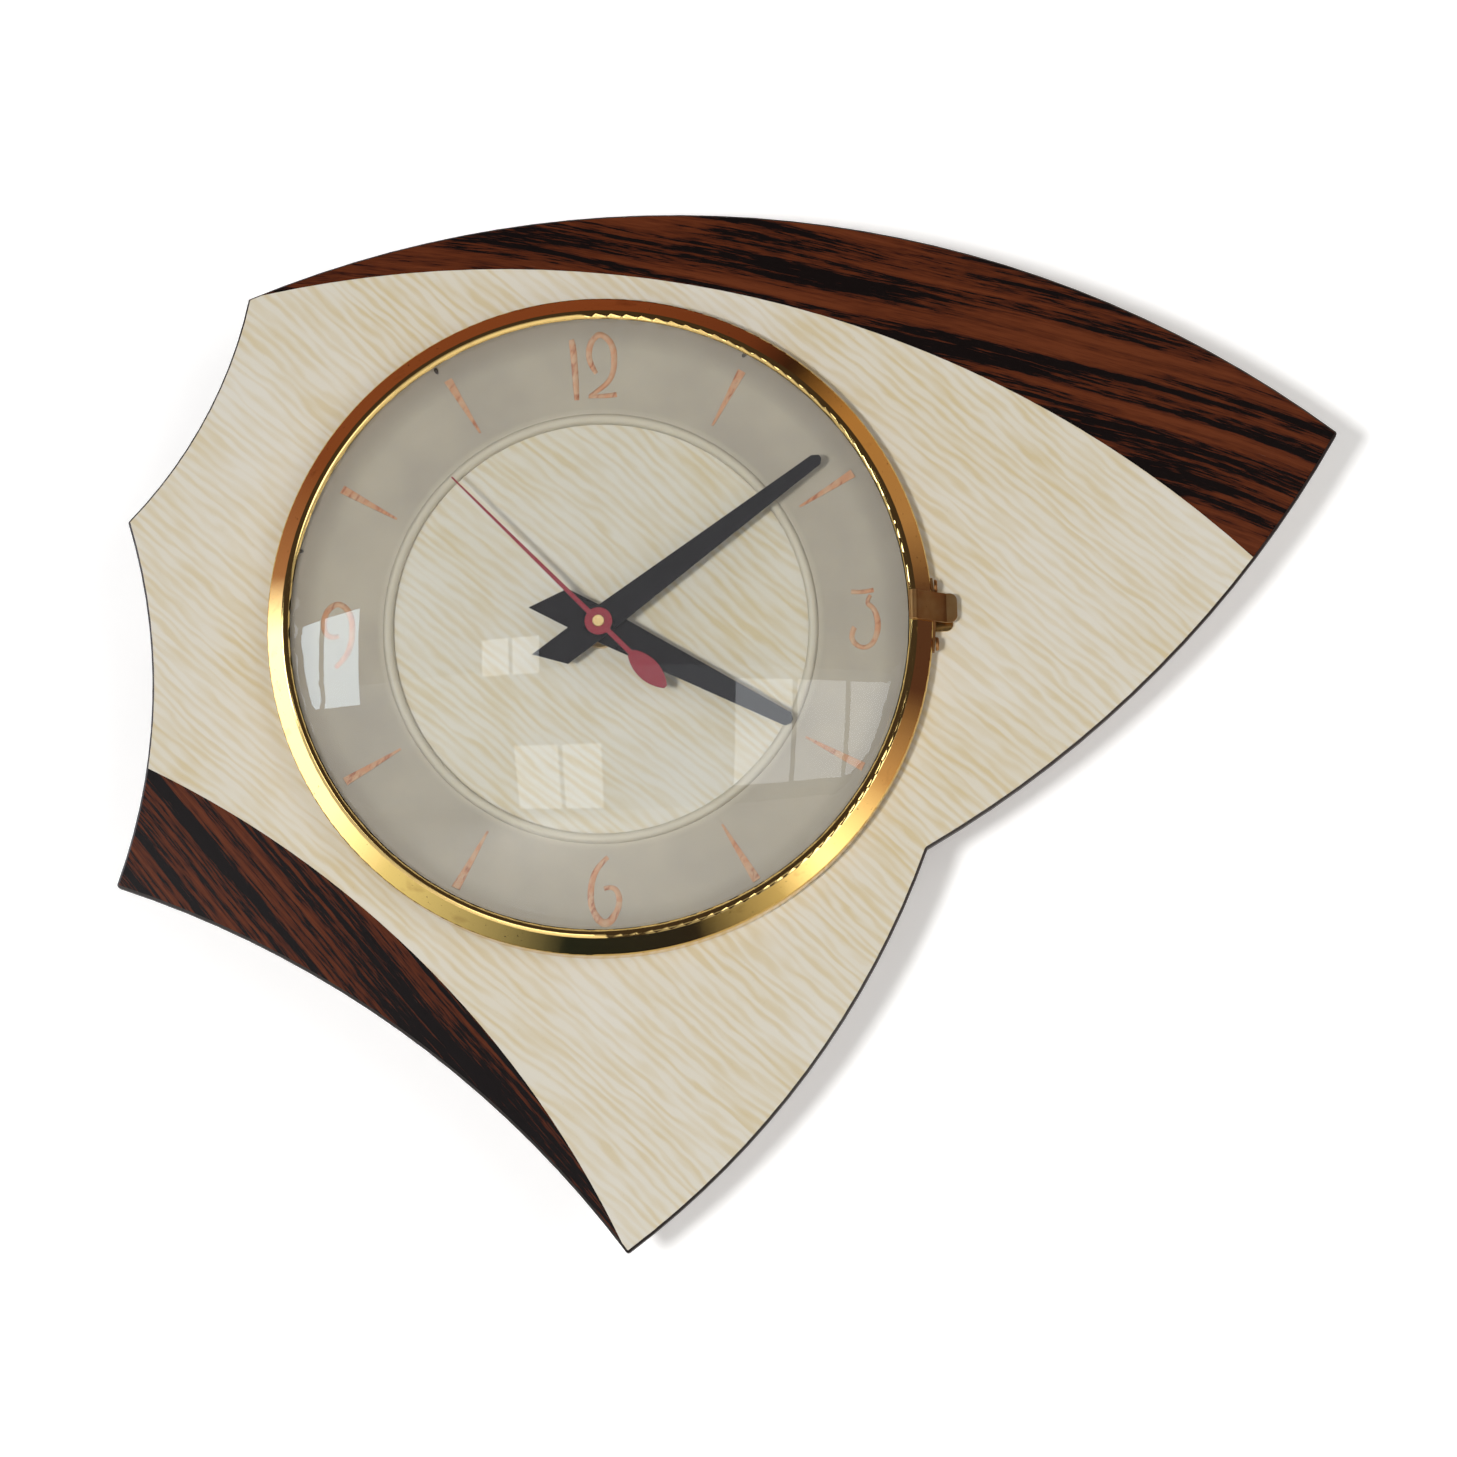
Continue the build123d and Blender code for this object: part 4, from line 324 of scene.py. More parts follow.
paper_ring()
for flag, away, sides, heights, colour, strength in FLAGS:
    front_card(flag, away, sides, heights, card_finish(flag, colour, strength))
sky = card_finish("window_sky", (0.76, 0.90, 1.00), 10.0)
soft_sky = card_finish("window_haze", (0.92, 0.96, 1.00), 4.0)
# Name, heights, light and the bearings of each pane
windows = (
    ("left_window", (-3.0, 15.5), sky, ((-53.0, -47.6), (-46.8, -41.0))),
    ("right_window", (-19.0, -1.5), soft_sky, ((19.0, 28.0), (28.8, 36.5), (37.3, 46.5))),
    ("middle_window", (0.0, 6.0), soft_sky, ((-21.0, -16.8), (-16.2, -12.0))),
    ("low_window", (-21.5, -11.5), soft_sky, ((-16.5, -9.5), (-8.8, -2.5))),
)
for window, heights, light, panes in windows:
    for pane, sides in enumerate(panes):
        front_card("%s_%d" % (window, pane), PANE_AWAY, sides, heights, light)
print("reflection cards set")


# %% [markdown]
# ## How a finish is made
# Every finish is a small tree of nodes that ends in one Principled shader. The Finish class
# below keeps that tree and shortens the steps that all of them need: noise stretched along
# a grain, ramps between colours, and bumps.

# %% Finish helper
class Finish:
    """One material, its node tree and its shader."""

    def __init__(self, name, metallic=0.0, roughness=0.5, **sockets):
        self.material = bpy.data.materials.new(name)
        self.material.use_nodes = True
        self.tree = self.material.node_tree
        self.tree.nodes.clear()
        self.shader = self.add("ShaderNodeBsdfPrincipled")
        self.output = self.add("ShaderNodeOutputMaterial")
        self.link(self.shader.outputs[0], self.output.inputs[0])
        self.shader.inputs["Metallic"].default_value = metallic
        self.shader.inputs["Roughness"].default_value = roughness
        for socket, value in sockets.items():
            self.shader.inputs[socket.replace("_", " ")].default_value = value
        self.place = self.add("ShaderNodeTexCoord").outputs["Object"]

    def add(self, kind, **settings):
        node = self.tree.nodes.new(kind)
        for key, value in settings.items():
            setattr(node, key, value)
        return node

    def link(self, source, target):
        self.tree.links.new(source, target)

    def math(self, operation, a, b=0.0):
        return combine(self.tree, operation, a, b)

    def from_axis(self):
        """Distance from the hands' axis."""
        spot = self.add("ShaderNodeSeparateXYZ")
        self.link(self.place, spot.inputs[0])
        x, z = spot.outputs["X"], spot.outputs["Z"]
        squares = self.math("ADD", self.math("MULTIPLY", x, x), self.math("MULTIPLY", z, z))
        return self.math("SQRT", squares)

    def stretched(self, angle, along, across):
        """Place on the dial plane, turned by an angle and divided by two lengths."""
        turn = self.add("ShaderNodeMapping")
        turn.inputs["Rotation"].default_value = (0, math.radians(angle), 0)
        self.link(self.place, turn.inputs["Vector"])
        scale = self.add("ShaderNodeMapping")
        scale.inputs["Scale"].default_value = (1 / along, 1 / across, 1 / across)
        self.link(turn.outputs[0], scale.inputs["Vector"])
        return scale.outputs[0]

    def noise(self, where, scale=1.0, detail=2.0, rough=0.5, warp=0.0):
        node = self.add("ShaderNodeTexNoise")
        node.inputs["Scale"].default_value = scale
        node.inputs["Detail"].default_value = detail
        node.inputs["Roughness"].default_value = rough
        node.inputs["Distortion"].default_value = warp
        self.link(where, node.inputs["Vector"])
        return node.outputs["Fac"]

    def ramp(self, factor, *stops):
        """Colours or grey levels at places from 0 to 1."""
        node = self.add("ShaderNodeValToRGB")
        bar = node.color_ramp
        while len(bar.elements) < len(stops):
            bar.elements.new(0.5)
        for element, (spot, colour) in zip(bar.elements, stops):
            element.position = spot
            grey = isinstance(colour, (int, float))
            element.color = (colour, colour, colour, 1) if grey else (*colour, 1)
        self.link(factor, node.inputs[0])
        return node.outputs[0]

    def blend(self, factor, first, second, way="MIX"):
        node = self.add("ShaderNodeMix", data_type="RGBA", blend_type=way)
        if isinstance(factor, (int, float)):
            node.inputs["Factor"].default_value = factor
        else:
            self.link(factor, node.inputs["Factor"])
        for socket, value in ((node.inputs[6], first), (node.inputs[7], second)):
            if isinstance(value, tuple):
                socket.default_value = (*value, 1)
            else:
                self.link(value, socket)
        return node.outputs[2]

    def colour(self, source):
        self.link(source, self.shader.inputs["Base Color"])

    def rough(self, factor, low, high):
        node = self.add("ShaderNodeMapRange")
        node.inputs["To Min"].default_value = low
        node.inputs["To Max"].default_value = high
        self.link(factor, node.inputs["Value"])
        self.link(node.outputs[0], self.shader.inputs["Roughness"])

    def bump(self, height, depth, strength=1.0):
        node = self.add("ShaderNodeBump")
        node.inputs["Distance"].default_value = depth
        node.inputs["Strength"].default_value = strength
        self.link(height, node.inputs["Height"])
        self.link(node.outputs[0], self.shader.inputs["Normal"])

    def put_on(self, *names):
        for name in names:
            piece = nodes[name]
            piece.data.materials.clear()
            piece.data.materials.append(self.material)


print("finish helper ready")


# %% [markdown]
# ## Cream laminate
# The cream sheet is printed with fine soft streaks of yellow beige that fall to the lower
# right. They keep an even distance, so a sine wave across the grain draws them, and noise
# stretched along the grain breaks it into streaks. A slow noise bends them a little, and
# another lets them fade in and out.

# %% Cream laminate
CREAM = (0.655, 0.605, 0.495)
CREAM_LIGHT = (0.68, 0.645, 0.565)
STREAK = (0.60, 0.50, 0.31)
CREAM_GRAIN = -42.0
STREAK_APART = 2.4 * MM
STREAK_L = 17.0 * MM


def cream_laminate():
    sheet = Finish("cream_laminate", roughness=0.3, Specular_IOR_Level=0.4)
    bend = sheet.noise(sheet.stretched(CREAM_GRAIN, 90 * MM, 50 * MM), detail=1.0)
    wobble = sheet.noise(sheet.stretched(CREAM_GRAIN, 15 * MM, 4 * MM), detail=2.0)
    grain = sheet.add("ShaderNodeSeparateXYZ")
    sheet.link(sheet.stretched(CREAM_GRAIN, STREAK_L, STREAK_APART), grain.inputs[0])
    across = sheet.math("ADD", grain.outputs["Z"], sheet.math("MULTIPLY", bend, 5.0))
    across = sheet.math("ADD", across, sheet.math("MULTIPLY", wobble, 1.5))
    wave = sheet.math("SINE", sheet.math("MULTIPLY", across, 2 * math.pi))
    line = sheet.add("ShaderNodeCombineXYZ")
    sheet.link(grain.outputs["X"], line.inputs["X"])
    sheet.link(across, line.inputs["Z"])
    broken = sheet.noise(line.outputs[0], scale=1.0, detail=2.0, rough=0.5)
    streak = sheet.math("ADD", sheet.math("MULTIPLY", wave, 0.15), broken)
    patch = sheet.noise(sheet.stretched(CREAM_GRAIN, 60 * MM, 30 * MM), detail=1.0)
    fade = sheet.ramp(patch, (0.3, 0.55), (0.65, 1.0))
    mask = sheet.math("MULTIPLY", sheet.ramp(streak, (0.37, 0.0), (0.74, 1.0)), fade)
    pale = sheet.ramp(patch, (0.3, CREAM_LIGHT), (0.75, CREAM))
    sheet.colour(sheet.blend(mask, pale, STREAK))
    skin = sheet.noise(sheet.stretched(0, 0.6 * MM, 0.6 * MM), detail=2.0)
    sheet.rough(skin, 0.24, 0.36)
    sheet.bump(skin, 0.01 * MM, 0.25)
    sheet.put_on("laminate_cream")


cream_laminate()
print("cream sheet streaks run at", CREAM_GRAIN, "degrees")


# %% [markdown]
# ## Dark laminate
# The two dark sheets imitate macassar ebony: long near-black figure on red brown, narrower
# stripes in it and thin fibres all along the grain. Each of the three is its own stretched
# noise, so that none of them breaks up into short blotches. The grain of each sheet has its
# own direction, so one function makes both.

# %% Dark laminate
RED_BROWN = (0.088, 0.0195, 0.006)
MID_BROWN = (0.054, 0.0125, 0.005)
LIGHT_BROWN = (0.125, 0.030, 0.0095)
NEAR_BLACK = (0.0055, 0.0032, 0.003)
FIGURE_L = 160 * MM


def dark_laminate(name, angle, shift, figure_w, sweep, darkness):
    """The grain runs at an angle and steepens with the sweep; figure_w is its width."""
    sheet = Finish(name, roughness=0.3, Specular_IOR_Level=0.25)
    bend = sheet.noise(sheet.stretched(angle, 120 * MM, 60 * MM), detail=1.0)
    grain = sheet.add("ShaderNodeSeparateXYZ")
    sheet.link(sheet.stretched(angle, FIGURE_L, figure_w), grain.inputs[0])
    curve = sheet.math("MULTIPLY", grain.outputs["X"], grain.outputs["X"])
    curve = sheet.math("MULTIPLY", curve, sweep * FIGURE_L * FIGURE_L / figure_w)
    across = sheet.math("ADD", grain.outputs["Z"], sheet.math("MULTIPLY", bend, 1.6))
    across = sheet.math("ADD", across, sheet.math("ADD", curve, shift))
    line = sheet.add("ShaderNodeCombineXYZ")
    sheet.link(grain.outputs["X"], line.inputs["X"])
    sheet.link(across, line.inputs["Z"])

    def layer(shorter, narrower, detail):
        size = sheet.add("ShaderNodeMapping")
        size.inputs["Scale"].default_value = (shorter, 1, narrower)
        sheet.link(line.outputs[0], size.inputs["Vector"])
        return sheet.noise(size.outputs[0], scale=1.0, detail=detail, rough=0.55)

    def part(source, share):
        return sheet.math("MULTIPLY", sheet.math("SUBTRACT", source, 0.5), share)

    mixed = sheet.math("ADD", layer(1.0, 1.0, 1.5), part(layer(2.2, 3.6, 1.5), 0.8))
    mixed = sheet.math("ADD", mixed, part(layer(24.0, figure_w / (0.42 * MM), 3.0), 0.62))
    wood = sheet.ramp(
        mixed,
        (0.42 + darkness, NEAR_BLACK),
        (0.49 + darkness, MID_BROWN),
        (0.57 + darkness, RED_BROWN),
        (0.76 + darkness, LIGHT_BROWN),
    )
    sheet.colour(wood)
    skin = layer(24.0, figure_w / (0.5 * MM), 2.0)
    sheet.rough(skin, 0.20, 0.30)
    sheet.bump(skin, 0.006 * MM, 0.3)
    return sheet


upper = dark_laminate("dark_laminate_upper", -13.0, 3.1, 7.5 * MM, 0.38, -0.01)
upper.put_on("laminate_dark_upper")
lower = dark_laminate("dark_laminate_lower", -51.0, 12.4, 4.2 * MM, 0.0, 0.02)
lower.put_on("laminate_dark_lower")
print("dark sheets done")


# %% [markdown]
# ## Board core
# Behind the laminate the board is a dark hardboard. Its bevelled edge is what draws the
# thin dark line round the whole clock, so it is almost black in front and brown behind.

# %% Board core
CORE_EDGE = (0.016, 0.010, 0.008)
CORE_BACK = (0.105, 0.058, 0.032)
CORE_BACK_LIGHT = (0.17, 0.10, 0.055)
CORE_FLECK = (0.03, 0.018, 0.012)
CORE_BACK_Y = -34.02 * MM


def board_core():
    core = Finish("board_core", roughness=0.55)
    depth = core.add("ShaderNodeSeparateXYZ")
    core.link(core.place, depth.inputs[0])
    behind = core.math("GREATER_THAN", depth.outputs["Y"], CORE_BACK_Y)
    pulp = core.noise(core.stretched(0, 3 * MM, 2.2 * MM), detail=5.0, rough=0.65)
    fleck = core.noise(core.stretched(25, 1.2 * MM, 0.5 * MM), detail=2.0)
    back = core.blend(core.ramp(pulp, (0.35, 0.0), (0.7, 1.0)), CORE_BACK, CORE_BACK_LIGHT)
    back = core.blend(core.ramp(fleck, (0.62, 0.0), (0.72, 0.6)), back, CORE_FLECK)
    core.colour(core.blend(behind, CORE_EDGE, back))
    core.rough(pulp, 0.42, 0.7)
    core.bump(fleck, 0.06 * MM, 0.4)
    core.put_on("board")


board_core()
print("board core done")


# %% [markdown]
# ## Brass
# The bezel is pressed from sheet brass and polished; handling and age leave faint cloudy
# patches, tiny specks and lines that run round it. The catch and the ring behind have gone
# brown. One function makes both, from clean metal to dull. The pressed band is slightly
# crowned; a bump that rises outwards gives its reflections that crown.

# %% Brass
CLEAN_BRASS = (0.80, 0.55, 0.20)
TARNISH = (0.30, 0.13, 0.045)
SPECK = (0.10, 0.045, 0.02)
CATCH_BRASS = (0.42, 0.25, 0.10)
BAND_CROWN = 0.24
RIDGE_R = 80.6 * MM


def brass(name, wear, low, high, clean=CLEAN_BRASS):
    metal = Finish(name, metallic=1.0, roughness=low)
    cloud = metal.noise(metal.stretched(0, 14 * MM, 9 * MM), detail=3.0, rough=0.6)
    speck = metal.noise(metal.stretched(0, 0.9 * MM, 0.9 * MM), detail=2.0)
    stain = metal.ramp(cloud, (0.62 - 0.4 * wear, 0.0), (0.95 - 0.4 * wear, 0.85))
    base = metal.blend(stain, clean, TARNISH)
    dots = metal.ramp(speck, (0.70, 0.0), (0.78, 0.8))
    metal.colour(metal.blend(dots, base, SPECK))
    rub = metal.noise(metal.stretched(35, 8 * MM, 0.35 * MM), detail=2.0)
    dull = metal.math("ADD", metal.math("MULTIPLY", rub, 0.6), metal.math("MULTIPLY", stain, 0.5))
    metal.rough(dull, low, high)
    metal.bump(rub, 0.001 * MM, 0.2)
    return metal


def crowned(metal, ridge):
    """Let the sloping band outside the ridge lie flatter in the light than it is."""
    band = metal.math("MULTIPLY", metal.math("MAXIMUM", metal.from_axis(), ridge), BAND_CROWN)
    metal.bump(band, 1.0)


bezel_brass = brass("polished_brass", 0.05, 0.05, 0.16)
crowned(bezel_brass, RIDGE_R)
bezel_brass.put_on("bezel")
brass("retainer_brass", 0.05, 0.06, 0.22).put_on("glass_retainer", "hinge_leaf_bezel")
brass("ring_brass", 0.35, 0.2, 0.4).put_on("base_ring", "hinge_leaf_case", "hinge_pin")
catch = brass("catch_brass", 0.9, 0.25, 0.5, CATCH_BRASS)
catch.put_on("catch_strap", "catch_plate", "catch_rivets")
brass("lug_brass", 0.1, 0.15, 0.3).put_on("catch_lug")
brass("nut_brass", 0.5, 0.2, 0.4).put_on("centre_nut", "centre_bush")
print("brass pieces done")


# %% [markdown]
# ## Movement metals
# Plates and wheels are rolled brass with fine straight drawing lines; arbors, springs and
# screws are steel. The lines come from noise stretched 40 times longer than wide.

# %% Movement metals
def drawn_metal(name, colour, dull, low, high, angle=0.0):
    metal = Finish(name, metallic=1.0, roughness=low)
    lines = metal.noise(metal.stretched(angle, 9 * MM, 0.22 * MM), detail=2.0)
    cloud = metal.noise(metal.stretched(angle, 12 * MM, 8 * MM), detail=3.0)
    metal.colour(metal.blend(metal.ramp(cloud, (0.35, 0.0), (0.75, 0.9)), colour, dull))
    metal.rough(lines, low, high)
    metal.bump(lines, 0.006 * MM, 0.35)
    return metal


plates = drawn_metal("plate_brass", (0.74, 0.54, 0.25), (0.55, 0.36, 0.15), 0.2, 0.4, 90)
plates.put_on("front_plate", "back_plate", "plate_pillars", "balance_bridge", "hairspring_stud")
wheels = drawn_metal("wheel_brass", (0.80, 0.60, 0.28), (0.62, 0.42, 0.18), 0.18, 0.34)
wheels.put_on("seconds_arbor", "centre_wheel", "third_wheel", "index_wheel", "balance_wheel")
wheels.put_on("cannon_pinion", "hour_wheel", "minute_wheel")
steel = drawn_metal("steel", (0.55, 0.55, 0.56), (0.36, 0.35, 0.34), 0.2, 0.38)
steel.put_on("base_ring_screws", "plate_screws", "case_screws", "cover_screws", "hanger_screws")
steel.put_on("balance_staff", "hairspring", "regulator_lever", "balance_magnets")
spring = drawn_metal("plated_spring", (0.70, 0.69, 0.66), (0.48, 0.46, 0.42), 0.16, 0.34)
spring.put_on("battery_contact_positive", "battery_contact_negative")
pins = drawn_metal("dark_pin", (0.10, 0.085, 0.075), (0.05, 0.04, 0.035), 0.35, 0.6)
pins.put_on("chapter_ring_pins")
hanger = drawn_metal("hanger_steel", (0.46, 0.42, 0.34), (0.30, 0.24, 0.17), 0.28, 0.5, 90)
hanger.put_on("hanger_bracket")
cans = drawn_metal("can", (0.62, 0.62, 0.61), (0.45, 0.45, 0.44), 0.25, 0.45)
cans.put_on("transistor", "capacitor")
print("movement metals done")


# %% [markdown]
# ## Chapter ring
# The ring that carries the hours is milky plastic. Light goes a little way into it, so it
# has some subsurface scattering, and age has left it slightly cloudy. The thin bead inside
# lets the cream board through, and the rim under the bezel is painted darker brown as the
# shade that the bezel casts on it.

# %% Chapter ring
MILKY = (0.435, 0.385, 0.300)
MILKY_DEEP = (0.350, 0.310, 0.250)
BEAD = (0.54, 0.49, 0.385)
RIM_SHADE = (0.24, 0.20, 0.15)
RING_EDGE_R = 80 * MM
SOFT_DEPTH = 2 * MM


def milky_plastic():
    ring = Finish("milky_plastic", roughness=0.34, Subsurface_Weight=0.25, Specular_IOR_Level=0.5)
    ring.shader.inputs["Subsurface Scale"].default_value = SOFT_DEPTH
    ring.shader.inputs["Subsurface Radius"].default_value = (1.0, 0.85, 0.6)
    cloud = ring.noise(ring.stretched(0, 22 * MM, 22 * MM), detail=3.0, rough=0.6)
    fine = ring.noise(ring.stretched(0, 1.4 * MM, 1.4 * MM), detail=3.0)
    out = ring.math("DIVIDE", ring.from_axis(), RING_EDGE_R)
    body = ring.blend(ring.ramp(cloud, (0.3, 0.0), (0.75, 1.0)), MILKY, MILKY_DEEP)
    body = ring.blend(ring.ramp(out, (0.68, 1.0), (0.715, 0.0)), body, BEAD)
    # painted shade: the ring turns darker brown towards its rim, as if shaded by the bezel
    ring.colour(ring.blend(ring.ramp(out, (0.90, 0.0), (0.985, 0.75)), body, RIM_SHADE))
    ring.rough(fine, 0.28, 0.42)
    ring.bump(fine, 0.006 * MM, 0.3)
    ring.put_on("chapter_ring")


milky_plastic()
print("chapter ring done")


# %% [markdown]
# ## Copper marks
# The hour marks and numerals are shallow strokes filled with copper paint, thin in places
# and darker where it pooled. Each stroke is thin paint, so a noise breaks it up.

# %% Copper paint
COPPER = (0.52, 0.245, 0.12)
COPPER_THIN = (0.52, 0.33, 0.20)
COPPER_DARK = (0.30, 0.08, 0.03)


def copper_paint():
    paint = Finish("copper_paint", metallic=0.15, roughness=0.4)
    pool = paint.noise(paint.stretched(0, 2.4 * MM, 2.4 * MM), detail=3.0, rough=0.6)
    edge = paint.noise(paint.stretched(60, 3.0 * MM, 0.8 * MM), detail=2.0)
    base = paint.blend(paint.ramp(pool, (0.35, 0.0), (0.62, 1.0)), COPPER_THIN, COPPER)
    paint.colour(paint.blend(paint.ramp(edge, (0.54, 0.0), (0.68, 0.8)), base, COPPER_DARK))
    paint.rough(pool, 0.3, 0.5)
    paint.bump(pool, 0.03 * MM, 0.4)
    return paint


copper = copper_paint()
copper.put_on("hour_marks")
print("copper marks done")


# %% [markdown]
# ## Hands
# The hour and minute hands are sheet steel under satin black lacquer, the second hand is
# gloss red with a brass boss. A narrow bevel on each catches the thin line of light that a
# stamped edge shows.

# %% Hands
def lacquer(name, colour, deep, low, high, gloss, coat=0.0):
    paint = Finish(name, roughness=low, Specular_IOR_Level=gloss)
    paint.shader.inputs["Coat Weight"].default_value = coat
    paint.shader.inputs["Coat Roughness"].default_value = 0.08
    orange = paint.noise(paint.stretched(0, 1.1 * MM, 1.1 * MM), detail=2.0)
    dust = paint.noise(paint.stretched(0, 0.35 * MM, 0.35 * MM), detail=1.0)
    base = paint.blend(orange, colour, deep)
    paint.colour(paint.blend(paint.ramp(dust, (0.80, 0.0), (0.86, 0.25)), base, (0.35, 0.33, 0.30)))
    paint.rough(orange, low, high)
    paint.bump(orange, 0.003 * MM, 0.3)
    return paint


def stamped_edge(name, width):
    bevel = nodes[name].modifiers.new("stamped_edge", "BEVEL")
    bevel.width = width
    bevel.segments = 2
    bevel.limit_method = "ANGLE"
    bevel.angle_limit = math.radians(40)


black = lacquer("black_lacquer", (0.005, 0.004, 0.006), (0.008, 0.007, 0.010), 0.24, 0.34, 0.08)
black.put_on("hour_hand", "minute_hand")
red = lacquer("red_lacquer", (0.27, 0.006, 0.022), (0.21, 0.005, 0.018), 0.16, 0.26, 0.4, coat=0.3)
red.put_on("second_hand")
for hand, width in (("hour_hand", 0.12), ("minute_hand", 0.12), ("second_hand", 0.07)):
    stamped_edge(hand, width * MM)
print("hands done")


# %% [markdown]
# ## Glass
# The dome is clear glass. Blender's lamps don't shine through refracting glass, so the dial
# under it would be black; a Transparent shader takes the place of the glass for those rays
# alone. A faint smear changes the tint a little from place to place. In the middle of the
# dome, where its faces run together, a weld joins the doubled points and weighted normals
# even out the pinch.

# %% Glass dome
def clear_dome(name, tint, roughness):
    glass = Finish(name, roughness=roughness, Transmission_Weight=1.0, IOR=1.45)
    smear = glass.noise(glass.stretched(20, 30 * MM, 12 * MM), detail=2.0)
    glass.colour(glass.blend(smear, tint, tuple(0.97 * c for c in tint)))
    path = glass.add("ShaderNodeLightPath")
    through = glass.add("ShaderNodeBsdfTransparent")
    through.inputs["Color"].default_value = (*tint, 1)
    mix = glass.add("ShaderNodeMixShader")
    glass.link(path.outputs["Is Shadow Ray"], mix.inputs[0])
    glass.link(glass.shader.outputs[0], mix.inputs[1])
    glass.link(through.outputs[0], mix.inputs[2])
    glass.link(mix.outputs[0], glass.output.inputs[0])
    return glass


clear_dome("clear_glass", (0.99, 0.995, 0.99), 0.0).put_on("glass")
clear_dome("clear_cover", (0.97, 0.97, 0.95), 0.02).put_on("dust_cover")
joined_tip = nodes["glass"].modifiers.new("joined_tip", "WELD")
joined_tip.merge_threshold = 0.001 * MM
even_dome = nodes["glass"].modifiers.new("even_dome", "WEIGHTED_NORMAL")
even_dome.keep_sharp = True
print("glass done")


# %% [markdown]
# ## Housing, cell and electronics
# The housing is black moulded plastic with a fine spark-eroded texture. The cell has a
# plain printed metal jacket, and the circuit board is brown resin paper.

# %% Housing
def moulded_black(name, colour, grain):
    plastic = Finish(name, roughness=0.45)
    spark = plastic.noise(plastic.stretched(0, grain, grain), detail=3.0, rough=0.6)
    scuff = plastic.noise(plastic.stretched(30, 26 * MM, 9 * MM), detail=3.0)
    plastic.colour(plastic.blend(scuff, colour, tuple(1.7 * c for c in colour)))
    plastic.rough(scuff, 0.34, 0.56)
    plastic.bump(spark, 0.05 * MM, 0.5)
    return plastic


moulded_black("housing_plastic", (0.016, 0.016, 0.017), 0.5 * MM).put_on("movement_case", "battery_door")
moulded_black("knob_plastic", (0.38, 0.36, 0.30), 0.4 * MM).put_on("set_knob")


PRINT_END_X = 8 * MM
CAN_END_X = 22.8 * MM
BARE_METAL = (0.62, 0.61, 0.58)


def cell_jacket():
    jacket = Finish("cell_jacket", metallic=0.7, roughness=0.28)
    along = jacket.add("ShaderNodeSeparateXYZ")
    jacket.link(jacket.place, along.inputs[0])
    lower = jacket.math("LESS_THAN", along.outputs["X"], PRINT_END_X)
    end = jacket.math("GREATER_THAN", along.outputs["X"], CAN_END_X)
    scuff = jacket.noise(jacket.stretched(0, 5 * MM, 2 * MM), detail=3.0)
    band = jacket.blend(lower, (0.62, 0.40, 0.12), (0.03, 0.035, 0.05))
    worn = jacket.blend(jacket.ramp(scuff, (0.6, 0.0), (0.8, 0.25)), band, (0.6, 0.6, 0.6))
    jacket.colour(jacket.blend(end, worn, BARE_METAL))
    jacket.rough(scuff, 0.22, 0.4)
    jacket.put_on("battery")


cell_jacket()


def winding():
    wire = Finish("copper_wire", metallic=1.0, roughness=0.3)
    ring = wire.add("ShaderNodeTexWave", wave_type="RINGS", rings_direction="SPHERICAL")
    wire.link(wire.stretched(0, 1.0, 1.0), ring.inputs["Vector"])
    ring.inputs["Scale"].default_value = 900.0
    ring.inputs["Distortion"].default_value = 0.6
    wire.colour(wire.blend(ring.outputs["Fac"], (0.55, 0.20, 0.07), (0.80, 0.36, 0.16)))
    wire.rough(ring.outputs["Fac"], 0.25, 0.45)
    wire.bump(ring.outputs["Fac"], 0.05 * MM, 0.6)
    wire.put_on("drive_coil")


winding()


def resin_board():
    resin = Finish("resin_board", roughness=0.5)
    fibre = resin.noise(resin.stretched(0, 4 * MM, 0.5 * MM), detail=3.0)
    resin.colour(resin.blend(fibre, (0.22, 0.10, 0.035), (0.34, 0.18, 0.07)))
    resin.rough(fibre, 0.35, 0.6)
    resin.bump(fibre, 0.02 * MM, 0.4)
    resin.put_on("circuit_board")


resin_board()
print("housing, cell and electronics done")


# %% [markdown]
# ## Leads
# Two hair-fine wires join the coil to the circuit board, and two thicker ones go from the
# board through the partition to the cell's contacts. Each is a curve with a round bevel,
# laid along the back plate clear of the balance and the knob.

# %% Leads
def enamel(name, colour, dark):
    skin = Finish(name, roughness=0.3, Coat_Weight=0.2)
    patch = skin.noise(skin.stretched(0, 2 * MM, 2 * MM), detail=2.0)
    skin.colour(skin.blend(patch, colour, dark))
    skin.rough(patch, 0.25, 0.4)
    return skin.material


def round_curve(name, radius, roundness, steps):
    curve = bpy.data.curves.new(name, "CURVE")
    curve.dimensions = "3D"
    curve.bevel_depth = radius
    curve.bevel_resolution = roundness
    curve.resolution_u = steps
    curve.use_fill_caps = True
    return curve


def add_stroke(curve, places, widths):
    """A smooth line through places; a width of 1 is the curve's full radius."""
    spline = curve.splines.new("NURBS")
    spline.points.add(len(places) - 1)
    for point, place, width in zip(spline.points, places, widths):
        point.co = (*place, 1)
        point.radius = width
    spline.order_u = 3
    spline.use_endpoint_u = True


def lead(name, path, radius, finish):
    """A wire through places given in mm."""
    curve = round_curve(name, radius, 2, 6)
    add_stroke(curve, [[v * MM for v in place] for place in path], [1.0] * len(path))
    piece = bpy.data.objects.new(name, curve)
    scene.collection.objects.link(piece)
    curve.materials.append(finish)
    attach(piece, "clock_body")


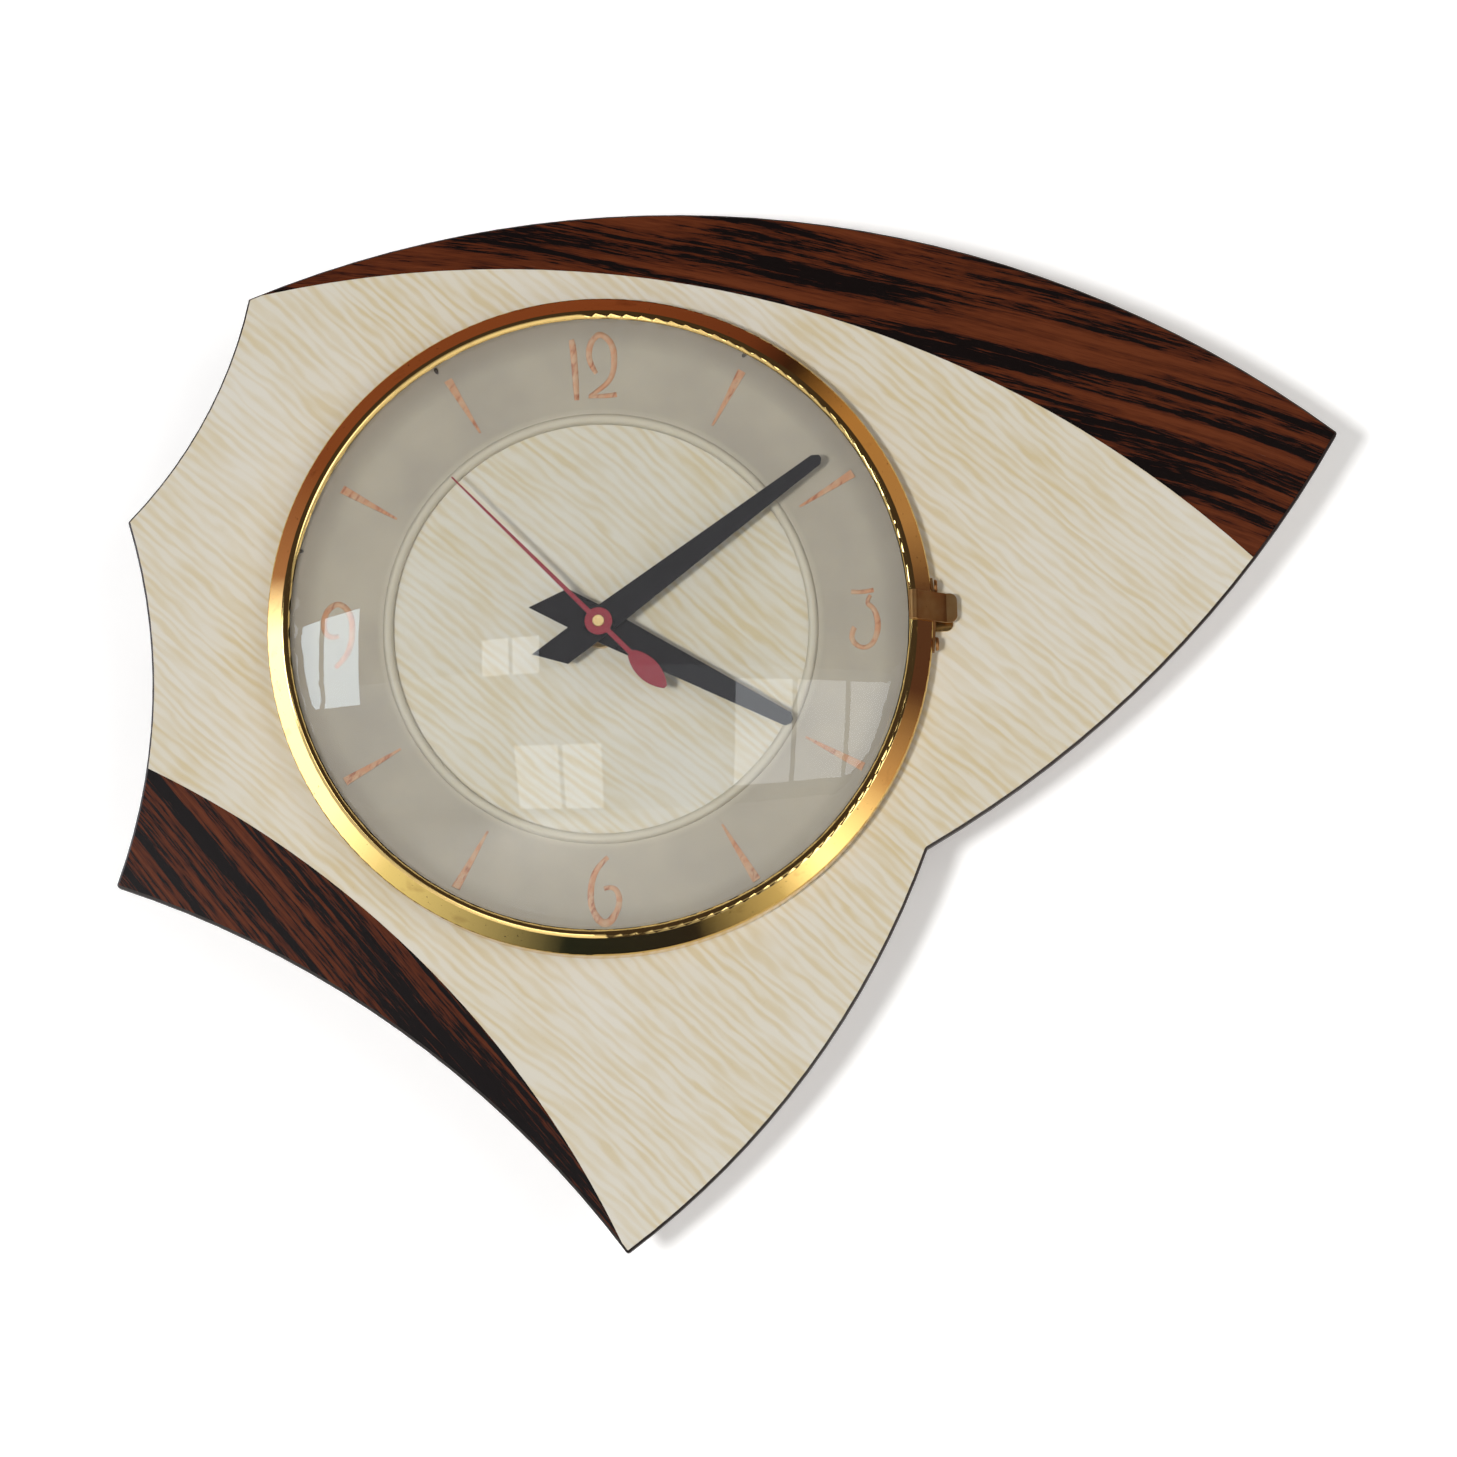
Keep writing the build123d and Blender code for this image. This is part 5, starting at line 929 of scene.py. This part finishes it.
FINE_WIRE_R = 0.16 * MM
CELL_WIRE_R = 0.45 * MM
fine_enamel = enamel("coil_enamel", (0.36, 0.10, 0.03), (0.22, 0.05, 0.02))
red_enamel = enamel("red_enamel", (0.40, 0.02, 0.02), (0.28, 0.015, 0.015))
blue_enamel = enamel("blue_enamel", (0.02, 0.05, 0.22), (0.015, 0.035, 0.14))
for side, shift in enumerate((0.0, 0.9)):
    over_top = [(23.0, -9.7, 32.2 + 0.5 * shift), (6.0, -9.7, 32.4 + 0.5 * shift), (-1.5 - shift, -9.7, 30.5)]
    down = [(-3.0 - shift, -9.7, 12.0), (-4.0 - shift, -9.6, -2.0), (-9.6 - shift, -7.9, -7.6)]
    lead("coil_lead_%d" % side, [(25.0 + shift, -9.0, 25.0), *over_top, *down], FINE_WIRE_R, fine_enamel)
to_plus = [(-9.6, -7.8, -21.2), (-9.0, -7.4, -24.0), (-8.8, -8.0, -26.6), (-8.4, -8.0, -30.0)]
plus_end = [(-2.0, -7.6, -30.4), (20.0, -7.6, -30.6), (26.6, -8.6, -32.0), (26.4, -11.9, -39.5)]
lead("battery_lead_plus", to_plus + plus_end, CELL_WIRE_R, red_enamel)
to_minus = [(-19.4, -7.8, -21.2), (-19.6, -7.4, -24.0), (-20.0, -8.0, -26.6), (-20.4, -8.0, -30.0)]
minus_end = [(-24.0, -8.6, -31.0), (-26.2, -11.9, -39.5)]
lead("battery_lead_minus", to_minus + minus_end, CELL_WIRE_R, blue_enamel)
print("four leads laid")


# %% [markdown]
# ## Numerals
# The four numerals are brush-like strokes on the ring. Each is a curve whose points carry
# their own radius, so that one bevel makes strokes that swell and taper. The curve lies on
# the ring's surface, found by looking straight down on it, and most of it is sunk in.

# %% Numerals
STROKE_BEVEL = 1.20 * MM
STROKE_RISE = 0.26 * MM
CHAPTER_BAND = 67.4 * MM
ABOVE_RING_Y = -60 * MM
RING_FRONT_Y = -39 * MM


def ring_surface(x, z):
    """Depth of the ring's front face under a point of the dial."""
    above = Vector((x, ABOVE_RING_Y, z))
    hit, spot, normal, face = nodes["chapter_ring"].ray_cast(above, Vector((0, 1, 0)))
    return spot.y if hit else RING_FRONT_Y


def numeral(name, centre, strokes):
    """Strokes are lists of (x, z, width) in mm about the numeral's centre."""
    curve = round_curve(name, STROKE_BEVEL, 4, 8)
    for stroke in strokes:
        places = []
        for x, z, width in stroke:
            px, pz = centre[0] + x * MM, centre[1] + z * MM
            places.append((px, ring_surface(px, pz) + STROKE_BEVEL * width - STROKE_RISE, pz))
        add_stroke(curve, places, [width for x, z, width in stroke])
    piece = bpy.data.objects.new(name, curve)
    scene.collection.objects.link(piece)
    curve.materials.append(copper.material)
    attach(piece, "clock_body")
    print(name, "has", len(strokes), "strokes")


ONE = [(-5.9, 7.9, 1.0), (-5.5, 6.5, 1.35), (-5.1, 0.0, 1.2), (-4.8, -8.1, 0.8)]
TWO = [
    (0.4, -1.3, 0.7), (-1.6, 1.8, 1.1), (-1.2, 6.6, 1.15), (1.5, 9.2, 1.0), (4.6, 6.6, 1.2),
    (5.2, 2.0, 1.15), (4.3, -2.6, 0.9), (1.6, -5.2, 0.8), (-1.6, -7.2, 0.5),
]
TWO_FOOT = [(-1.8, -7.2, 0.45), (2.0, -7.3, 0.75), (5.4, -6.9, 0.9)]
SIX = [
    (0.6, 8.4, 0.7), (-2.2, 6.0, 1.0), (-4.0, 1.0, 1.2), (-3.8, -5.6, 1.15), (-0.6, -8.6, 1.0),
    (2.6, -6.4, 1.1), (3.6, -2.2, 1.1), (1.9, 1.0, 0.9), (-0.6, 0.2, 0.7),
]
THREE_TOP = [(-3.2, 7.3, 0.75), (-0.5, 6.9, 0.5), (2.4, 7.5, 0.75)]
THREE = [
    (1.6, 6.2, 0.5), (0.2, 4.3, 0.6), (2.6, 2.8, 0.9), (3.7, -1.6, 1.25), (2.2, -6.4, 0.9),
    (-0.8, -7.6, 0.6), (-3.6, -5.4, 0.9), (-3.2, -2.6, 1.0), (-2.6, -1.8, 0.9),
]
NINE = [(-x, -z, width) for x, z, width in SIX]
numeral("numeral_12", (0.0, CHAPTER_BAND), [ONE, TWO, TWO_FOOT])
numeral("numeral_6", (0.0, -CHAPTER_BAND), [SIX])
numeral("numeral_3", (CHAPTER_BAND, 0.0), [THREE_TOP, THREE])
numeral("numeral_9", (-CHAPTER_BAND, 0.0), [NINE])
